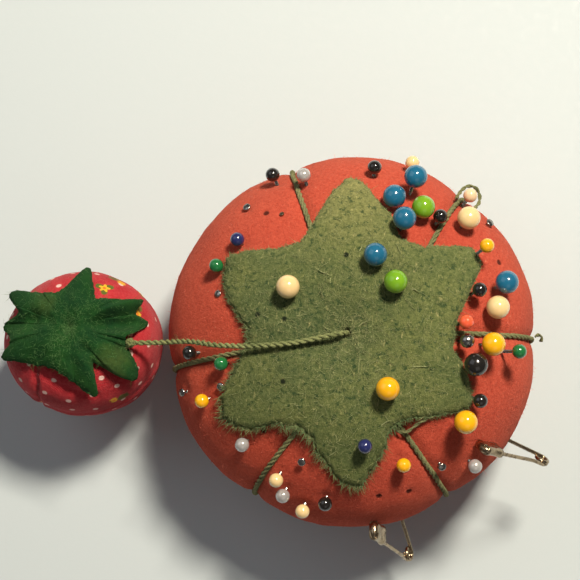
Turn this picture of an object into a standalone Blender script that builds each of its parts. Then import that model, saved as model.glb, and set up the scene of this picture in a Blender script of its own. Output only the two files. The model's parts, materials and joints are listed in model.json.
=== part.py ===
"""A tomato pin cushion: felt-covered cushion with a felt star, six section threads, a strawberry
emery on a cord, ball-headed pins and two safety pins.

The frame: +Z up, the cushion's base on z = 0, the origin at the middle of the base, +X towards the
side away from the strawberry. Sizes in the tables and constants are millimetres; MM turns them into
metres where a mesh is made.
"""

import math

import bmesh
import bpy
from mathutils import Matrix, Vector

MM = 0.001
GAP = 0.3                     # clear space between pieces that touch

# Cushion
CUSHION_RADIUS = 35.0
CUSHION_EQUATOR = 20.0        # height of the widest ring
CUSHION_TOP = 24.0            # from the widest ring up to the crown
CUSHION_LOW = 21.0            # from the widest ring down, before the base flattens it
CUSHION_TOP_POWER = 0.9       # below 1, a fuller curve than a quarter of an ellipse
CUSHION_LOW_POWER = 0.8
TOP_DIMPLE = 2.0
DIMPLE_WIDTH = 7.0
BASE_DIMPLE = 1.6
BASE_DIMPLE_RADIUS = 11.0
COVER_THICKNESS = 1.3
STUFFING_GAP = 0.6            # room between the cover and the packed stuffing
FURROW_DEPTH = 1.0            # how far a section thread pulls the cover in
FURROW_DEPTH_BASE = 1.7
FURROW_HALF_WIDTH = 1.8
FURROW_EDGE_SHARE = 0.12      # how deep the furrow's edge columns are, as a share of its depth
FURROW_WIDTH_SHARE = 0.16     # the most of a section's width that half a furrow takes
BASE_FURROW_ANGLES = (40.0, 64.0)      # below the equator, where the furrows deepen to the base's
LOBE_DROP = 0.5               # how much lower a section is at its threads than in its middle
LOBE_START, LOBE_END = 15.0, 24.0      # radii between which the sections begin to bulge
LOBE_POWER = 0.6
COLUMNS_PER_SECTION = 7
ROW_ANGLES = [86.8, 80, 71, 61, 50, 39, 27, 15, 3, -11, -27, -43, -57, -66.5, -71, -76, -82, -87.8]
GATHER_START, GATHER_END = 4.0, 10.0   # between these radii the furrows run together into the middle

# Section threads: azimuth at the rim and at the centre of the top, in degrees
THREADS = [(0.0, 2.0), (51.3, 20.0), (109.0, 107.0), (189.2, 189.2), (237.5, 262.0), (301.5, 291.5)]
THREAD_RADIUS = 0.5
BUNDLE_RADIUS = 1.5
KNOT_RADIUS = 2.1
KNOT_HEIGHT = 1.2
THREAD_END_SHARE = 0.35       # each loop's ends run in to this share of their radius,
THREAD_END_DEPTH = 0.5        # and this far into the bundle

# Star leaf: azimuth and radius of each corner of its outline
STAR_OUTLINE = [
    (97, 25.0), (90, 28.4), (84, 27.5), (77, 24.0), (69, 22.4), (61, 19.0),
    (48, 20.2), (40, 24.2), (35, 26.9), (28, 26.9), (20, 23.0), (6, 19.0),
    (351, 18.4), (342, 21.8), (334, 24.0), (328, 24.7), (317, 20.8), (303, 17.8),
    (294, 18.2), (287, 21.2), (274, 26.8), (266, 25.6), (258, 21.6), (245, 18.2),
    (232, 19.6), (223, 24.3), (214, 26.3), (207, 25.2), (200, 21.9), (186, 17.2),
    (176, 17.4), (165, 21.6), (155, 24.2), (147, 25.7), (139, 22.7), (129, 19.2),
    (116, 17.9), (106, 20.6),
]
FELT_THICKNESS = 1.2
STAR_LIFT = 0.7               # the star's underside above the cushion's full outline
STAR_HOLE = 1.1
STAR_RINGS = [0.3, 0.55, 0.78]

# Pins: kind, colour, azimuth and radius of the point where the pin goes in, and how far the head
# stands off the cloth
PINS = [
    ("large", "cream", 142, 12.0, 0.6),
    ("large", "blue", 69, 13.5, 0.6),
    ("large", "lime", 45, 11.5, 0.6),
    ("large", "blue", 66.5, 28.5, 2.8),
    ("large", "blue", 71, 25.0, 0.6),
    ("large", "blue", 63, 21.2, 2.3),
    ("large", "lime", 59, 25.4, 0.6),
    ("large", "cream", 44, 29.0, 0.6),
    ("large", "blue", 18, 28.0, 1.8),
    ("large", "cream", 10, 26.0, 0.6),
    ("large", "yellow", 355.5, 24.0, 2.6),
    ("large", "black", 346, 21.8, 2.3),
    ("large", "yellow", 306, 11.5, 0.6),
    ("large", "yellow", 323, 24.3, 2.3),
    ("small", "black", 115, 32.0, 0.6),
    ("small", "pearl", 105.3, 29.5, 0.6),
    ("small", "navy", 139, 25.5, 0.6),
    ("small", "green", 152, 26.0, 0.6),
    ("small", "black", 186, 28.0, 0.5),
    ("small", "green", 193, 22.5, 0.5),
    ("small", "yellow", 204, 28.0, 0.6),
    ("small", "pearl", 226, 26.5, 0.5),
    ("small", "cream", 243.5, 28.0, 0.8),
    ("small", "pearl", 247.5, 30.2, 0.5),
    ("small", "cream", 255, 31.5, 0.8),
    ("small", "black", 262, 29.5, 0.6),
    ("small", "navy", 279, 19.0, 0.6),
    ("small", "yellow", 293, 24.5, 0.6),
    ("small", "black", 333, 24.8, 2.3),
    ("small", "green", 354, 28.0, 4.0),
    ("small", "coral", 5, 20.0, 2.2),
    ("small", "steel", 356, 20.0, 2.4),
    ("small", "pearl", 314, 31.5, 0.6),
    ("small", "black", 81, 30.0, 0.8),
    ("small", "cream", 70, 33.0, 0.8),
    ("small", "black", 51.8, 26.2, 0.5),
    ("small", "yellow", 32, 26.8, 2.3),
    ("small", "black", 18, 23.3, 2.3),
    ("small", "pale", 49.4, 33.0, 0.8),
    ("sunk", "steel", 128, 30.5, 0.35),
    ("sunk", "steel", 202, 25.0, 0.35),
    ("sunk", "steel", 197, 32.0, 0.35),
    ("sunk", "steel", 250, 24.5, 0.35),
    ("sunk", "steel", 304.5, 29.0, 0.35),
    ("sunk", "steel", 40, 33.5, 0.35),
]
HEAD_RADIUS = {"large": 2.1, "small": 1.3, "sunk": 0.75}
SHANK_RADIUS = 0.3
SHANK_LENGTH = {"large": 30.0, "small": 26.0, "sunk": 24.0}
FLAT_HEAD_HEIGHT = 0.4
POINT_LENGTH = 2.5
HEAD_SEAT = 0.98              # a ball head's centre above its shank's end, as a share of its radius
HEAD_LATITUDES = {"large": (-55, -25, 0, 25, 55), "small": (-48, -10, 28, 60)}
PIN_AIM_SHARE = 0.45          # every pin leans in to this share of its own radius,
PIN_AIM_HEIGHT = 8.0          # at this height
BORE_RADIUS = 0.62
BORE_SPARE = 0.6              # the bore is this much deeper than the pin
BORE_RISE = 6.0               # and its cutter stands this far above the cloth
ARM_BORE_RADIUS = 0.67
ARM_BORE_START = 2.0

# Safety pins: coil centre, direction of the spine from the coil to the cap, and of the pointed arm
SAFETY_PINS = [
    ((35.4, -22.4, 21.6), (-0.63, 0.13, 0.766), (-0.856, 0.406, 0.321)),
    ((10.5, -40.3, 13.9), (-0.34, 0.29, 0.895), (-0.25, 0.85, 0.46)),
]
WIRE_RADIUS = 0.35
COIL_MID_RADIUS = 1.1
COIL_THICKNESS = 1.5
SAFETY_PIN_LENGTH = 19.0
ARM_LENGTH = 18.0
CAP_LENGTH = 5.0
CAP_HALF_HEIGHT = 0.95
CAP_WALL = 0.3
CAP_LIP = 0.42                # half of the slot that the arm goes in through

# Strawberry emery, in its own frame: tip at the origin, axis up
BERRY_RADIUS = 14.2
BERRY_STRETCH = (1.07, 0.97)  # the body is a little wider along X than along Y
BERRY_EQUATOR = 20.0
BERRY_TOP = 12.6
BERRY_LOW = 19.9
BERRY_TOP_POWER = 0.75
BERRY_LOW_POWERS = (1.1, 1.05)
BERRY_DIMPLE = 1.2
BERRY_DIMPLE_WIDTH = 4.0
BERRY_COLUMNS = 20
BERRY_ROWS = [74, 60, 47, 33, 19, 4, -12, -28, -44, -60, -76]
BERRY_OPENING = 3.0
COTTON_THICKNESS = 0.8
BERRY_TIP = (-51.3, -3.0, 0.15)
BERRY_LEAN = 8.0              # degrees, the crown towards +Y
LEAF_CAP_OUTLINE = [
    (76, 11.7), (49, 6.6), (25, 15.0), (15, 10.5), (8, 14.6), (-15, 8.8),
    (-39, 14.9), (-56, 6.6), (-65, 13.3), (-95, 7.2), (-159, 14.6), (-167, 11.3),
    (-186, 13.8), (-202, 9.2), (-210, 14.0), (-247, 6.9),
]
LEAF_CAP_LIFT = 1.7
LEAF_CAP_DROP = 4.8           # how far the cap's leaves hang down at LEAF_CAP_REACH from its centre
LEAF_CAP_REACH = 14.0
LEAF_CAP_POWER = 2.6
LEAF_CAP_RINGS = [0.25, 0.5, 0.75]
LEAF_CAP_HOLE = 1.0
ATTACHMENT = (-40.3, -0.9, 32.2)   # where the cord is sewn to the berry's shoulder
ATTACHMENT_RADIUS = 1.2

# Strawberry cord: from the hole in the star, over the star and the cushion, to the berry
CORD_RADIUS = 0.6
CORD_ROUTE = [
    (0.0, 0.0, 42.6), (0.0, 0.0, 43.9), (-0.5, -0.1, 45.1), (-1.7, -0.3, 45.9), (-4.0, -0.8, 46.2),
    (-8.2, -1.7, 46.3), (-12.0, -2.1, 46.1), (-15.6, -2.3, 45.5), (-18.5, -2.3, 44.5),
    (-21.0, -2.1, 42.9), (-23.6, -1.9, 41.4), (-26.2, -1.4, 39.6), (-28.8, -1.0, 37.4),
    (-31.4, -0.9, 35.3), (-33.8, -0.9, 33.6), (-36.2, -0.9, 32.5), (-38.75, -0.9, 32.2),
]
CORD_STEPS = 2                # points on the smooth curve for each stretch of the route

COLOURS = {
    "felt_red": ((0.62, 0.09, 0.05), 0.95, 0.0),
    "stuffing": ((0.55, 0.45, 0.30), 1.0, 0.0),
    "felt_green": ((0.14, 0.22, 0.12), 0.95, 0.0),
    "felt_dark_green": ((0.03, 0.13, 0.05), 0.95, 0.0),
    "thread_green": ((0.13, 0.16, 0.07), 0.8, 0.0),
    "cotton_red": ((0.55, 0.02, 0.06), 0.85, 0.0),
    "emery": ((0.12, 0.10, 0.10), 0.9, 0.0),
    "steel": ((0.60, 0.58, 0.55), 0.3, 1.0),
    "brassed_steel": ((0.62, 0.55, 0.42), 0.3, 1.0),
    "cream": ((0.85, 0.75, 0.58), 0.15, 0.0),
    "pale": ((0.70, 0.60, 0.45), 0.2, 0.0),
    "blue": ((0.01, 0.16, 0.38), 0.15, 0.0),
    "navy": ((0.02, 0.03, 0.15), 0.15, 0.0),
    "lime": ((0.15, 0.42, 0.02), 0.15, 0.0),
    "green": ((0.01, 0.16, 0.06), 0.15, 0.0),
    "yellow": ((0.85, 0.50, 0.01), 0.15, 0.0),
    "black": ((0.01, 0.01, 0.01), 0.15, 0.0),
    "coral": ((0.75, 0.08, 0.05), 0.15, 0.0),
    "pearl": ((0.45, 0.43, 0.43), 0.2, 0.4),
}


def material(name):
    """The named colour as a Principled material, made once."""
    found = bpy.data.materials.get(name)
    if found:
        return found
    colour, roughness, metallic = COLOURS[name]
    made = bpy.data.materials.new(name)
    made.use_nodes = True
    shader = made.node_tree.nodes["Principled BSDF"]
    shader.inputs["Base Color"].default_value = (*colour, 1.0)
    shader.inputs["Roughness"].default_value = roughness
    shader.inputs["Metallic"].default_value = metallic
    return made


def add(name, mesh, colour, location=(0, 0, 0), rotation=None, parent=None):
    """A named object in the scene, with its place in millimetres."""
    piece = bpy.data.objects.new(name, mesh)
    bpy.context.scene.collection.objects.link(piece)
    piece.location = Vector(location) * MM
    if rotation is not None:
        piece.rotation_mode = "QUATERNION"
        piece.rotation_quaternion = rotation
    if parent:
        piece.parent = parent
    if colour:
        mesh.materials.append(material(colour))
    return piece


def hide_cutter(piece):
    piece.hide_render = True
    piece.display_type = "WIRE"
    return piece


def combine(piece, other, operation="DIFFERENCE"):
    """A Boolean modifier with another object or a collection of objects."""
    change = piece.modifiers.new(operation.lower(), "BOOLEAN")
    change.operation = operation
    change.solver = "EXACT"
    if isinstance(other, bpy.types.Collection):
        change.operand_type = "COLLECTION"
        change.collection = other
    else:
        change.object = hide_cutter(other)


def finish_mesh(shape, name, smooth_angle=40.0):
    """A bmesh in millimetres as a closed mesh in metres, with smooth faces and sharp corners."""
    bmesh.ops.recalc_face_normals(shape, faces=shape.faces)
    bmesh.ops.scale(shape, vec=(MM, MM, MM), verts=shape.verts)
    mesh = bpy.data.meshes.new(name)
    shape.to_mesh(mesh)
    shape.free()
    mesh.shade_smooth()
    mesh.set_sharp_from_angle(angle=math.radians(smooth_angle))
    return mesh


def lofted(name, rings, start_pole=None, end_pole=None, looped=False):
    """Rings of points joined in order, closed by a pole at each end or back onto the first ring."""
    shape = bmesh.new()
    loops = [[shape.verts.new(point) for point in ring] for ring in rings]
    pairs = list(zip(loops, loops[1:])) + ([(loops[-1], loops[0])] if looped else [])
    count = len(rings[0])
    for lower, upper in pairs:
        for k in range(count):
            shape.faces.new((lower[k], lower[(k + 1) % count], upper[(k + 1) % count], upper[k]))
    for pole, ring in ((start_pole, loops[0]), (end_pole, loops[-1])):
        if pole is not None:
            centre = shape.verts.new(pole)
            for k in range(count):
                shape.faces.new((centre, ring[k], ring[(k + 1) % count]))
    return finish_mesh(shape, name)


def turned(name, profile, steps):
    """A profile of (radius, height) points spun about Z; it starts and ends on the axis or closes."""
    shape = bmesh.new()
    points = [shape.verts.new((radius, 0.0, height)) for radius, height in profile]
    edges = [shape.edges.new(pair) for pair in zip(points, points[1:])]
    if profile[0][0] > 0:
        edges.append(shape.edges.new((points[-1], points[0])))
    bmesh.ops.spin(shape, geom=points + edges, cent=(0, 0, 0), axis=(0, 0, 1), angle=math.tau,
                   steps=steps, use_merge=True)
    bmesh.ops.remove_doubles(shape, verts=shape.verts, dist=1e-4)
    return finish_mesh(shape, name)


def tube_curve(name, points, radius, resolution, end_share=1.0):
    """A round tube with filled ends along points in millimetres; its end can taper to a share."""
    curve = bpy.data.curves.new(name, "CURVE")
    curve.dimensions = "3D"
    curve.bevel_depth = radius * MM
    curve.bevel_resolution = resolution
    curve.use_fill_caps = True
    spline = curve.splines.new("POLY")
    spline.points.add(len(points) - 1)
    for point, place in zip(spline.points, points):
        point.co = (*(Vector(place) * MM), 1.0)
    spline.points[-1].radius = end_share
    return curve


def tube(name, points, radius, resolution=1, end_share=1.0):
    """The same tube as a mesh."""
    curve = tube_curve(name, points, radius, resolution, end_share)
    holder = bpy.data.objects.new(name + "_curve", curve)
    bpy.context.scene.collection.objects.link(holder)
    view = bpy.context.evaluated_depsgraph_get()
    mesh = bpy.data.meshes.new_from_object(holder.evaluated_get(view))
    bpy.data.objects.remove(holder)
    shape = bmesh.new()
    shape.from_mesh(mesh)
    bmesh.ops.remove_doubles(shape, verts=shape.verts, dist=1e-7)
    bmesh.ops.recalc_face_normals(shape, faces=shape.faces)
    shape.to_mesh(mesh)
    shape.free()
    return mesh


def smooth_route(route, steps):
    """Points along a smooth curve through the route's own points."""
    points = [Vector(place) for place in route]
    padded = [points[0] * 2 - points[1]] + points + [points[-1] * 2 - points[-2]]
    curve = []
    for a, b, c, d in zip(padded, padded[1:], padded[2:], padded[3:]):
        for k in range(steps):
            t = k / steps
            curve.append(0.5 * (2 * b + (c - a) * t + (2 * a - 5 * b + 4 * c - d) * t ** 2
                                + (3 * b - a - 3 * c + d) * t ** 3))
    return curve + [points[-1]]


def power(base, exponent):
    return max(base, 0.0) ** exponent


def cushion_meridian(angle):
    """Radius and height of the cushion's full outline at a row angle in degrees, 90 at the top."""
    cosine, sine = math.cos(math.radians(angle)), math.sin(math.radians(angle))
    if angle >= 0:
        radius = CUSHION_RADIUS * power(cosine, CUSHION_TOP_POWER)
        dimple = TOP_DIMPLE * math.exp(-(radius / DIMPLE_WIDTH) ** 2)
        return radius, CUSHION_EQUATOR + CUSHION_TOP * power(sine, CUSHION_TOP_POWER) - dimple
    radius = CUSHION_RADIUS * power(cosine, CUSHION_LOW_POWER)
    height = max(CUSHION_EQUATOR - CUSHION_LOW * power(-sine, CUSHION_LOW_POWER), 0.0)
    if radius < BASE_DIMPLE_RADIUS:
        height = BASE_DIMPLE * (1 - (radius / BASE_DIMPLE_RADIUS) ** 2)
    return radius, height


def berry_meridian(angle):
    """The same for the strawberry's body, as wide as it is before it is stretched along X."""
    cosine, sine = math.cos(math.radians(angle)), math.sin(math.radians(angle))
    if angle >= 0:
        radius = BERRY_RADIUS * power(cosine, BERRY_TOP_POWER)
        dimple = BERRY_DIMPLE * math.exp(-(radius / BERRY_DIMPLE_WIDTH) ** 2)
        return radius, BERRY_EQUATOR + BERRY_TOP * power(sine, BERRY_TOP_POWER) - dimple
    across, down = BERRY_LOW_POWERS
    return BERRY_RADIUS * power(cosine, across), BERRY_EQUATOR - BERRY_LOW * power(-sine, down)


def offset_meridian(meridian, angle, offset):
    """A point of a meridian moved out along its normal."""
    before, after = meridian(min(angle + 0.5, 90.0)), meridian(max(angle - 0.5, -90.0))
    along = Vector((after[0] - before[0], after[1] - before[1])).normalized()
    radius, height = meridian(angle)
    return radius - along.y * offset, height + along.x * offset


def blend(value, start, end):
    """0 before start, 1 after end, and smooth between them."""
    t = min(max((value - start) / (end - start), 0.0), 1.0)
    return t * t * (3 - 2 * t)


def thread_azimuth(thread, radius, angle):
    rim, centre = thread
    if angle < 0:
        return rim
    return rim + (centre - rim) * (1 - min(radius / CUSHION_RADIUS, 1.0)) ** 2


def furrow_depth(angle):
    return FURROW_DEPTH + (FURROW_DEPTH_BASE - FURROW_DEPTH) * blend(-angle, *BASE_FURROW_ANGLES)


def lobe_drop(radius):
    return LOBE_DROP * blend(radius, LOBE_START, LOBE_END)


def cushion_ring(angle, offset):
    """One ring of the cushion's cover, its columns gathered at the six furrows."""
    full_radius = cushion_meridian(angle)[0]
    azimuths = [thread_azimuth(thread, full_radius, angle) for thread in THREADS]
    drop = lobe_drop(full_radius)
    gathered = 1 - blend(full_radius, GATHER_START, GATHER_END)
    ring = []
    for start, end in zip(azimuths, azimuths[1:] + [azimuths[0] + 360]):
        width = end - start
        edge = min(math.degrees(FURROW_HALF_WIDTH / full_radius), FURROW_WIDTH_SHARE * width)
        inner = COLUMNS_PER_SECTION - 2
        places = [0.0] + [edge + (width - 2 * edge) * k / inner for k in range(inner + 1)]
        for k, place in enumerate(places):
            share = 1.0 if k == 0 else max(gathered, FURROW_EDGE_SHARE if k in (1, inner + 1) else 0.0)
            bulge = math.sin(math.pi * place / width) ** LOBE_POWER
            inward = share * furrow_depth(angle) + drop * (1 - bulge)
            radius, height = offset_meridian(cushion_meridian, angle, offset - inward)
            turn = math.radians(start + place)
            ring.append((radius * math.cos(turn), radius * math.sin(turn), height))
    return ring


def cushion_height(radius, offset):
    """Height of the cushion's full outline, offset outwards, at a plan radius on its upper side."""
    low, high = 0.0, 90.0
    for _ in range(30):
        middle = (low + high) / 2
        if offset_meridian(cushion_meridian, middle, offset)[0] > radius:
            low = middle
        else:
            high = middle
    return offset_meridian(cushion_meridian, low, offset)[1]


def entry_point(azimuth, radius):
    turn = math.radians(azimuth)
    return Vector((radius * math.cos(turn), radius * math.sin(turn), cushion_height(radius, 0.0)))


def pin_direction(entry):
    """Unit vector out of the cushion along a pin's shank."""
    aim = Vector((PIN_AIM_SHARE * entry.x, PIN_AIM_SHARE * entry.y, PIN_AIM_HEIGHT))
    return (entry - aim).normalized()


def inside_outline(outline, azimuth, radius):
    """Whether a polar point is inside a polar outline, whose corners are joined by straight lines."""
    corners = [Vector((r * math.cos(math.radians(a)), r * math.sin(math.radians(a)))) for a, r in outline]
    point = Vector((radius * math.cos(math.radians(azimuth)), radius * math.sin(math.radians(azimuth))))
    inside = False
    for a, b in zip(corners, corners[1:] + corners[:1]):
        if (a.y > point.y) != (b.y > point.y):
            crossing = a.x + (b.x - a.x) * (point.y - a.y) / (b.y - a.y)
            inside ^= point.x < crossing
    return inside


def leaf_sheet(name, outline, hole, shares, lower, thickness):
    """A felt leaf shape cut to a polar outline, lying on a surface: lower(x, y) is a point and normal."""
    corners = [Vector((r * math.cos(math.radians(a)), r * math.sin(math.radians(a)))) for a, r in outline]
    rings = []
    for share in [None] + shares + [1.0]:
        ring = []
        for corner in corners:
            place = corner.normalized() * hole if share is None else corner * share
            ring.append(lower(place.x, place.y))
        rings.append(ring)
    under = [[point for point, normal in ring] for ring in rings]
    over = [[point + normal * thickness for point, normal in ring] for ring in rings]
    return lofted(name, under + over[::-1], looped=True)


def star_surface(x, y):
    radius = math.hypot(x, y)
    step = 0.2
    slope = (cushion_height(radius + step, STAR_LIFT) - cushion_height(max(radius - step, 0), STAR_LIFT))
    slope /= min(radius, step) + step
    outward = Vector((x, y)) / radius
    normal = Vector((-slope * outward.x, -slope * outward.y, 1.0)).normalized()
    return Vector((x, y, cushion_height(radius, STAR_LIFT))), normal


def leaf_cap_surface(x, y):
    """The leaf cap's underside in the strawberry's frame: a shallow dome over its crown."""
    crown = BERRY_EQUATOR + BERRY_TOP + LEAF_CAP_LIFT
    share = math.hypot(x, y) / LEAF_CAP_REACH
    height = crown - LEAF_CAP_DROP * share ** LEAF_CAP_POWER
    return Vector((x, y, height)), Vector((0, 0, 1))


def make_bores(pins):
    """One cutter for each pin, in a collection."""
    bores = bpy.data.collections.new("bores")
    for index, (kind, entry, outward) in enumerate(pins):
        ends = [entry + outward * BORE_RISE, entry - outward * (SHANK_LENGTH[kind] + BORE_SPARE)]
        cutter = hide_cutter(add(f"bore_{index}", tube(f"bore_{index}", ends, BORE_RADIUS), None))
        bores.objects.link(cutter)
    return bores


def make_cushion(bores):
    outer = [cushion_ring(angle, 0.0) for angle in ROW_ANGLES]
    inner = [cushion_ring(angle, -COVER_THICKNESS) for angle in ROW_ANGLES[::-1]]
    cover = add("cushion_cover", lofted("cushion_cover", outer + inner, looped=True), "felt_red")
    rings = [cushion_ring(angle, -COVER_THICKNESS - STUFFING_GAP) for angle in ROW_ANGLES]
    stuffing = add("cushion_stuffing", lofted("cushion_stuffing", rings, looped=True), "stuffing")
    for piece in (cover, stuffing):
        combine(piece, bores)


def make_star(bores):
    mesh = leaf_sheet("leaf_star", STAR_OUTLINE, STAR_HOLE, STAR_RINGS, star_surface, FELT_THICKNESS)
    combine(add("leaf_star", mesh, "felt_green"), bores)


def make_section_thread():
    """Six loops over the cushion and the bundle through its middle, one continuous tied thread."""
    top = cushion_height(0.0, 0.0) + 0.1
    profile = [(0, 0), (KNOT_RADIUS, 0), (KNOT_RADIUS, KNOT_HEIGHT), (BUNDLE_RADIUS, KNOT_HEIGHT + 0.5),
               (BUNDLE_RADIUS, top), (0, top)]
    bundle = add("section_thread", turned("section_thread", profile, 12), "thread_green")
    for index, thread in enumerate(THREADS):
        path = []
        for angle in ROW_ANGLES:
            inward = furrow_depth(angle) - THREAD_RADIUS - GAP
            full_radius = cushion_meridian(angle)[0]
            radius, height = offset_meridian(cushion_meridian, angle, -inward - lobe_drop(full_radius))
            turn = math.radians(thread_azimuth(thread, full_radius, angle))
            path.append(Vector((radius * math.cos(turn), radius * math.sin(turn), height)))
        first, last = path[0], path[-1]
        share, depth = THREAD_END_SHARE, THREAD_END_DEPTH
        path.insert(0, Vector((first.x * share, first.y * share, first.z - depth)))
        path.append(Vector((last.x * share, last.y * share, last.z + depth)))
        loop = add(f"thread_loop_{index}", tube(f"thread_loop_{index}", path, THREAD_RADIUS), None)
        combine(bundle, loop, "UNION")


def pin_mesh(kind, stand_off):
    """A pin along Z: the cloth at 0, the point below it and the head above."""
    tip = -SHANK_LENGTH[kind]
    head = HEAD_RADIUS[kind]
    profile = [(0, tip), (SHANK_RADIUS, tip + POINT_LENGTH), (SHANK_RADIUS, stand_off)]
    if kind == "sunk":
        top = stand_off + FLAT_HEAD_HEIGHT
        profile += [(head, stand_off + 0.05), (head * 0.8, top), (0, top)]
        return turned("pin", profile, 8)
    centre = stand_off + head * HEAD_SEAT
    for latitude in HEAD_LATITUDES[kind]:
        turn = math.radians(latitude)
        profile.append((head * math.cos(turn), centre + head * math.sin(turn)))
    profile.append((0, centre + head))
    return turned("pin", profile, 10 if kind == "large" else 7)


def make_pins(placed):
    counts = {}
    for (kind, colour, azimuth, radius, stand_off), (_, entry, outward) in zip(PINS, placed):
        label = "steel_pin" if kind == "sunk" else f"{kind}_pin_{colour}"
        counts[label] = counts.get(label, 0) + 1
        name = f"{label}_{counts[label]}"
        if inside_outline(STAR_OUTLINE, azimuth, radius):
            stand_off += STAR_LIFT + FELT_THICKNESS
        add(name, pin_mesh(kind, stand_off), colour, entry, outward.to_track_quat("Z", "Y"))


def place_pins():
    placed = []
    for kind, _, azimuth, radius, _ in PINS:
        entry = entry_point(azimuth, radius)
        placed.append((kind, entry, pin_direction(entry)))
    return placed


def safety_pin_frame(coil, spine, arm):
    """Matrix of a safety pin: X along the spine, the arm on its +Y side; and the arm's angle."""
    x = Vector(spine).normalized()
    arm = Vector(arm).normalized()
    y = (arm - x * arm.dot(x)).normalized()
    z = x.cross(y)
    matrix = Matrix((x, y, z)).transposed()
    return matrix.to_quaternion(), Vector(coil), x.angle(arm)


def prism(name, outline, start, end):
    """A (y, z) outline extruded along X."""
    shape = bmesh.new()
    face = shape.faces.new([shape.verts.new((start, y, z)) for y, z in outline])
    swept = bmesh.ops.extrude_face_region(shape, geom=[face])
    moved = [item for item in swept["geom"] if isinstance(item, bmesh.types.BMVert)]
    bmesh.ops.translate(shape, vec=(end - start, 0, 0), verts=moved)
    return finish_mesh(shape, name)


def cap_outline(folded):
    """Outline of the cap's folded sheet, or of a plate as big, seen along the spine."""
    back = -COIL_MID_RADIUS - WIRE_RADIUS - GAP
    mouth = COIL_MID_RADIUS + WIRE_RADIUS + GAP
    outside = [(mouth, CAP_HALF_HEIGHT), (back + 0.1, CAP_HALF_HEIGHT), (back - CAP_WALL, 0.5),
               (back - CAP_WALL, -0.5), (back + 0.1, -CAP_HALF_HEIGHT), (mouth, -CAP_HALF_HEIGHT)]
    if not folded:
        return outside
    room = CAP_HALF_HEIGHT - CAP_WALL
    lip = CAP_LIP
    return outside + [(mouth, -lip), (mouth - CAP_WALL, -lip), (mouth - CAP_WALL, -room),
                      (back + 0.25, -room), (back, -0.4), (back, 0.4), (back + 0.25, room),
                      (mouth - CAP_WALL, room), (mouth - CAP_WALL, lip), (mouth, lip)]


def make_safety_pin(number, coil_centre, spine, arm, bores):
    rotation, centre, angle = safety_pin_frame(coil_centre, spine, arm)
    side = COIL_MID_RADIUS
    half, thick = COIL_THICKNESS / 2, WIRE_RADIUS
    low = half * 0.6
    ring = [(side - thick, -low), (side, -half), (side + thick, -low), (side + thick, low),
            (side, half), (side - thick, low)]
    coil = add(f"safety_pin_{number}_arm", turned("coil", ring, 14), "brassed_steel", centre, rotation)
    along = Vector((math.cos(angle), math.sin(angle), 0))
    beside = Vector((-math.sin(angle), math.cos(angle), 0)) * side
    stretch = [beside, beside + along * (ARM_LENGTH - POINT_LENGTH), beside + along * ARM_LENGTH]
    wire = add(f"arm_wire_{number}", tube("arm_wire", stretch, WIRE_RADIUS, 1, 0.2), None, centre, rotation)
    combine(coil, wire, "UNION")
    bore = [beside + along * ARM_BORE_START, beside + along * (ARM_LENGTH + BORE_SPARE)]
    cutter = add(f"arm_bore_{number}", tube("arm_bore", bore, ARM_BORE_RADIUS), None, centre, rotation)
    bores.objects.link(hide_cutter(cutter))

    end = SAFETY_PIN_LENGTH
    stretch = [(2.0, -side, 0), (end - CAP_WALL - GAP, -side, 0)]
    spine_wire = tube("spine", stretch, WIRE_RADIUS, 2)
    add(f"safety_pin_{number}_spine", spine_wire, "brassed_steel", centre, rotation)
    channel = prism("cap", cap_outline(True), end - CAP_LENGTH, end - CAP_WALL / 2)
    cap = add(f"safety_pin_{number}_cap", channel, "brassed_steel", centre, rotation)
    closed_end = prism("cap_end", cap_outline(False), end - CAP_WALL, end)
    plate = add(f"cap_end_{number}", closed_end, None, centre, rotation)
    combine(cap, plate, "UNION")


def berry_ring(angle, offset):
    radius, height = offset_meridian(berry_meridian, angle, offset)
    turns = [math.tau * k / BERRY_COLUMNS for k in range(BERRY_COLUMNS)]
    wide, deep = BERRY_STRETCH
    return [(radius * wide * math.cos(turn), radius * deep * math.sin(turn), height) for turn in turns]


def make_strawberry():
    rotation = Matrix.Rotation(math.radians(-BERRY_LEAN), 3, "X").to_quaternion()
    opening = math.degrees(math.acos((BERRY_OPENING / BERRY_RADIUS) ** (1 / BERRY_TOP_POWER)))
    rows = [opening] + BERRY_ROWS
    outer = [berry_ring(angle, 0.0) for angle in rows]
    inner = [berry_ring(angle, -COTTON_THICKNESS) for angle in rows[::-1]]
    tip, inner_tip = (0, 0, BERRY_EQUATOR - BERRY_LOW), (0, 0, BERRY_EQUATOR - BERRY_LOW + COTTON_THICKNESS)
    cover = lofted("strawberry_cover", inner + outer, inner_tip, tip)
    add("strawberry_cover", cover, "cotton_red", BERRY_TIP, rotation)
    depth = COTTON_THICKNESS + GAP
    rings = [berry_ring(angle, -depth) for angle in rows]
    crown = (0, 0, BERRY_EQUATOR + BERRY_TOP - BERRY_DIMPLE - depth)
    low = (0, 0, BERRY_EQUATOR - BERRY_LOW + depth + 0.2)
    add("emery_filling", lofted("emery_filling", rings, crown, low), "emery", BERRY_TIP, rotation)
    leaf = leaf_sheet("strawberry_leaf_cap", LEAF_CAP_OUTLINE, LEAF_CAP_HOLE, LEAF_CAP_RINGS,
                      leaf_cap_surface, FELT_THICKNESS)
    add("strawberry_leaf_cap", leaf, "felt_dark_green", BERRY_TIP, rotation)
    size = ATTACHMENT_RADIUS
    ball = [(0, -size)] + [(size * math.cos(t), size * math.sin(t)) for t in (-0.8, 0.0, 0.8)] + [(0, size)]
    add("strawberry_knot", turned("strawberry_knot", ball, 8), "thread_green", ATTACHMENT)


def make_cord():
    curve = tube_curve("strawberry_cord", smooth_route(CORD_ROUTE, CORD_STEPS), CORD_RADIUS, 2)
    add("strawberry_cord", curve, "thread_green")


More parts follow.
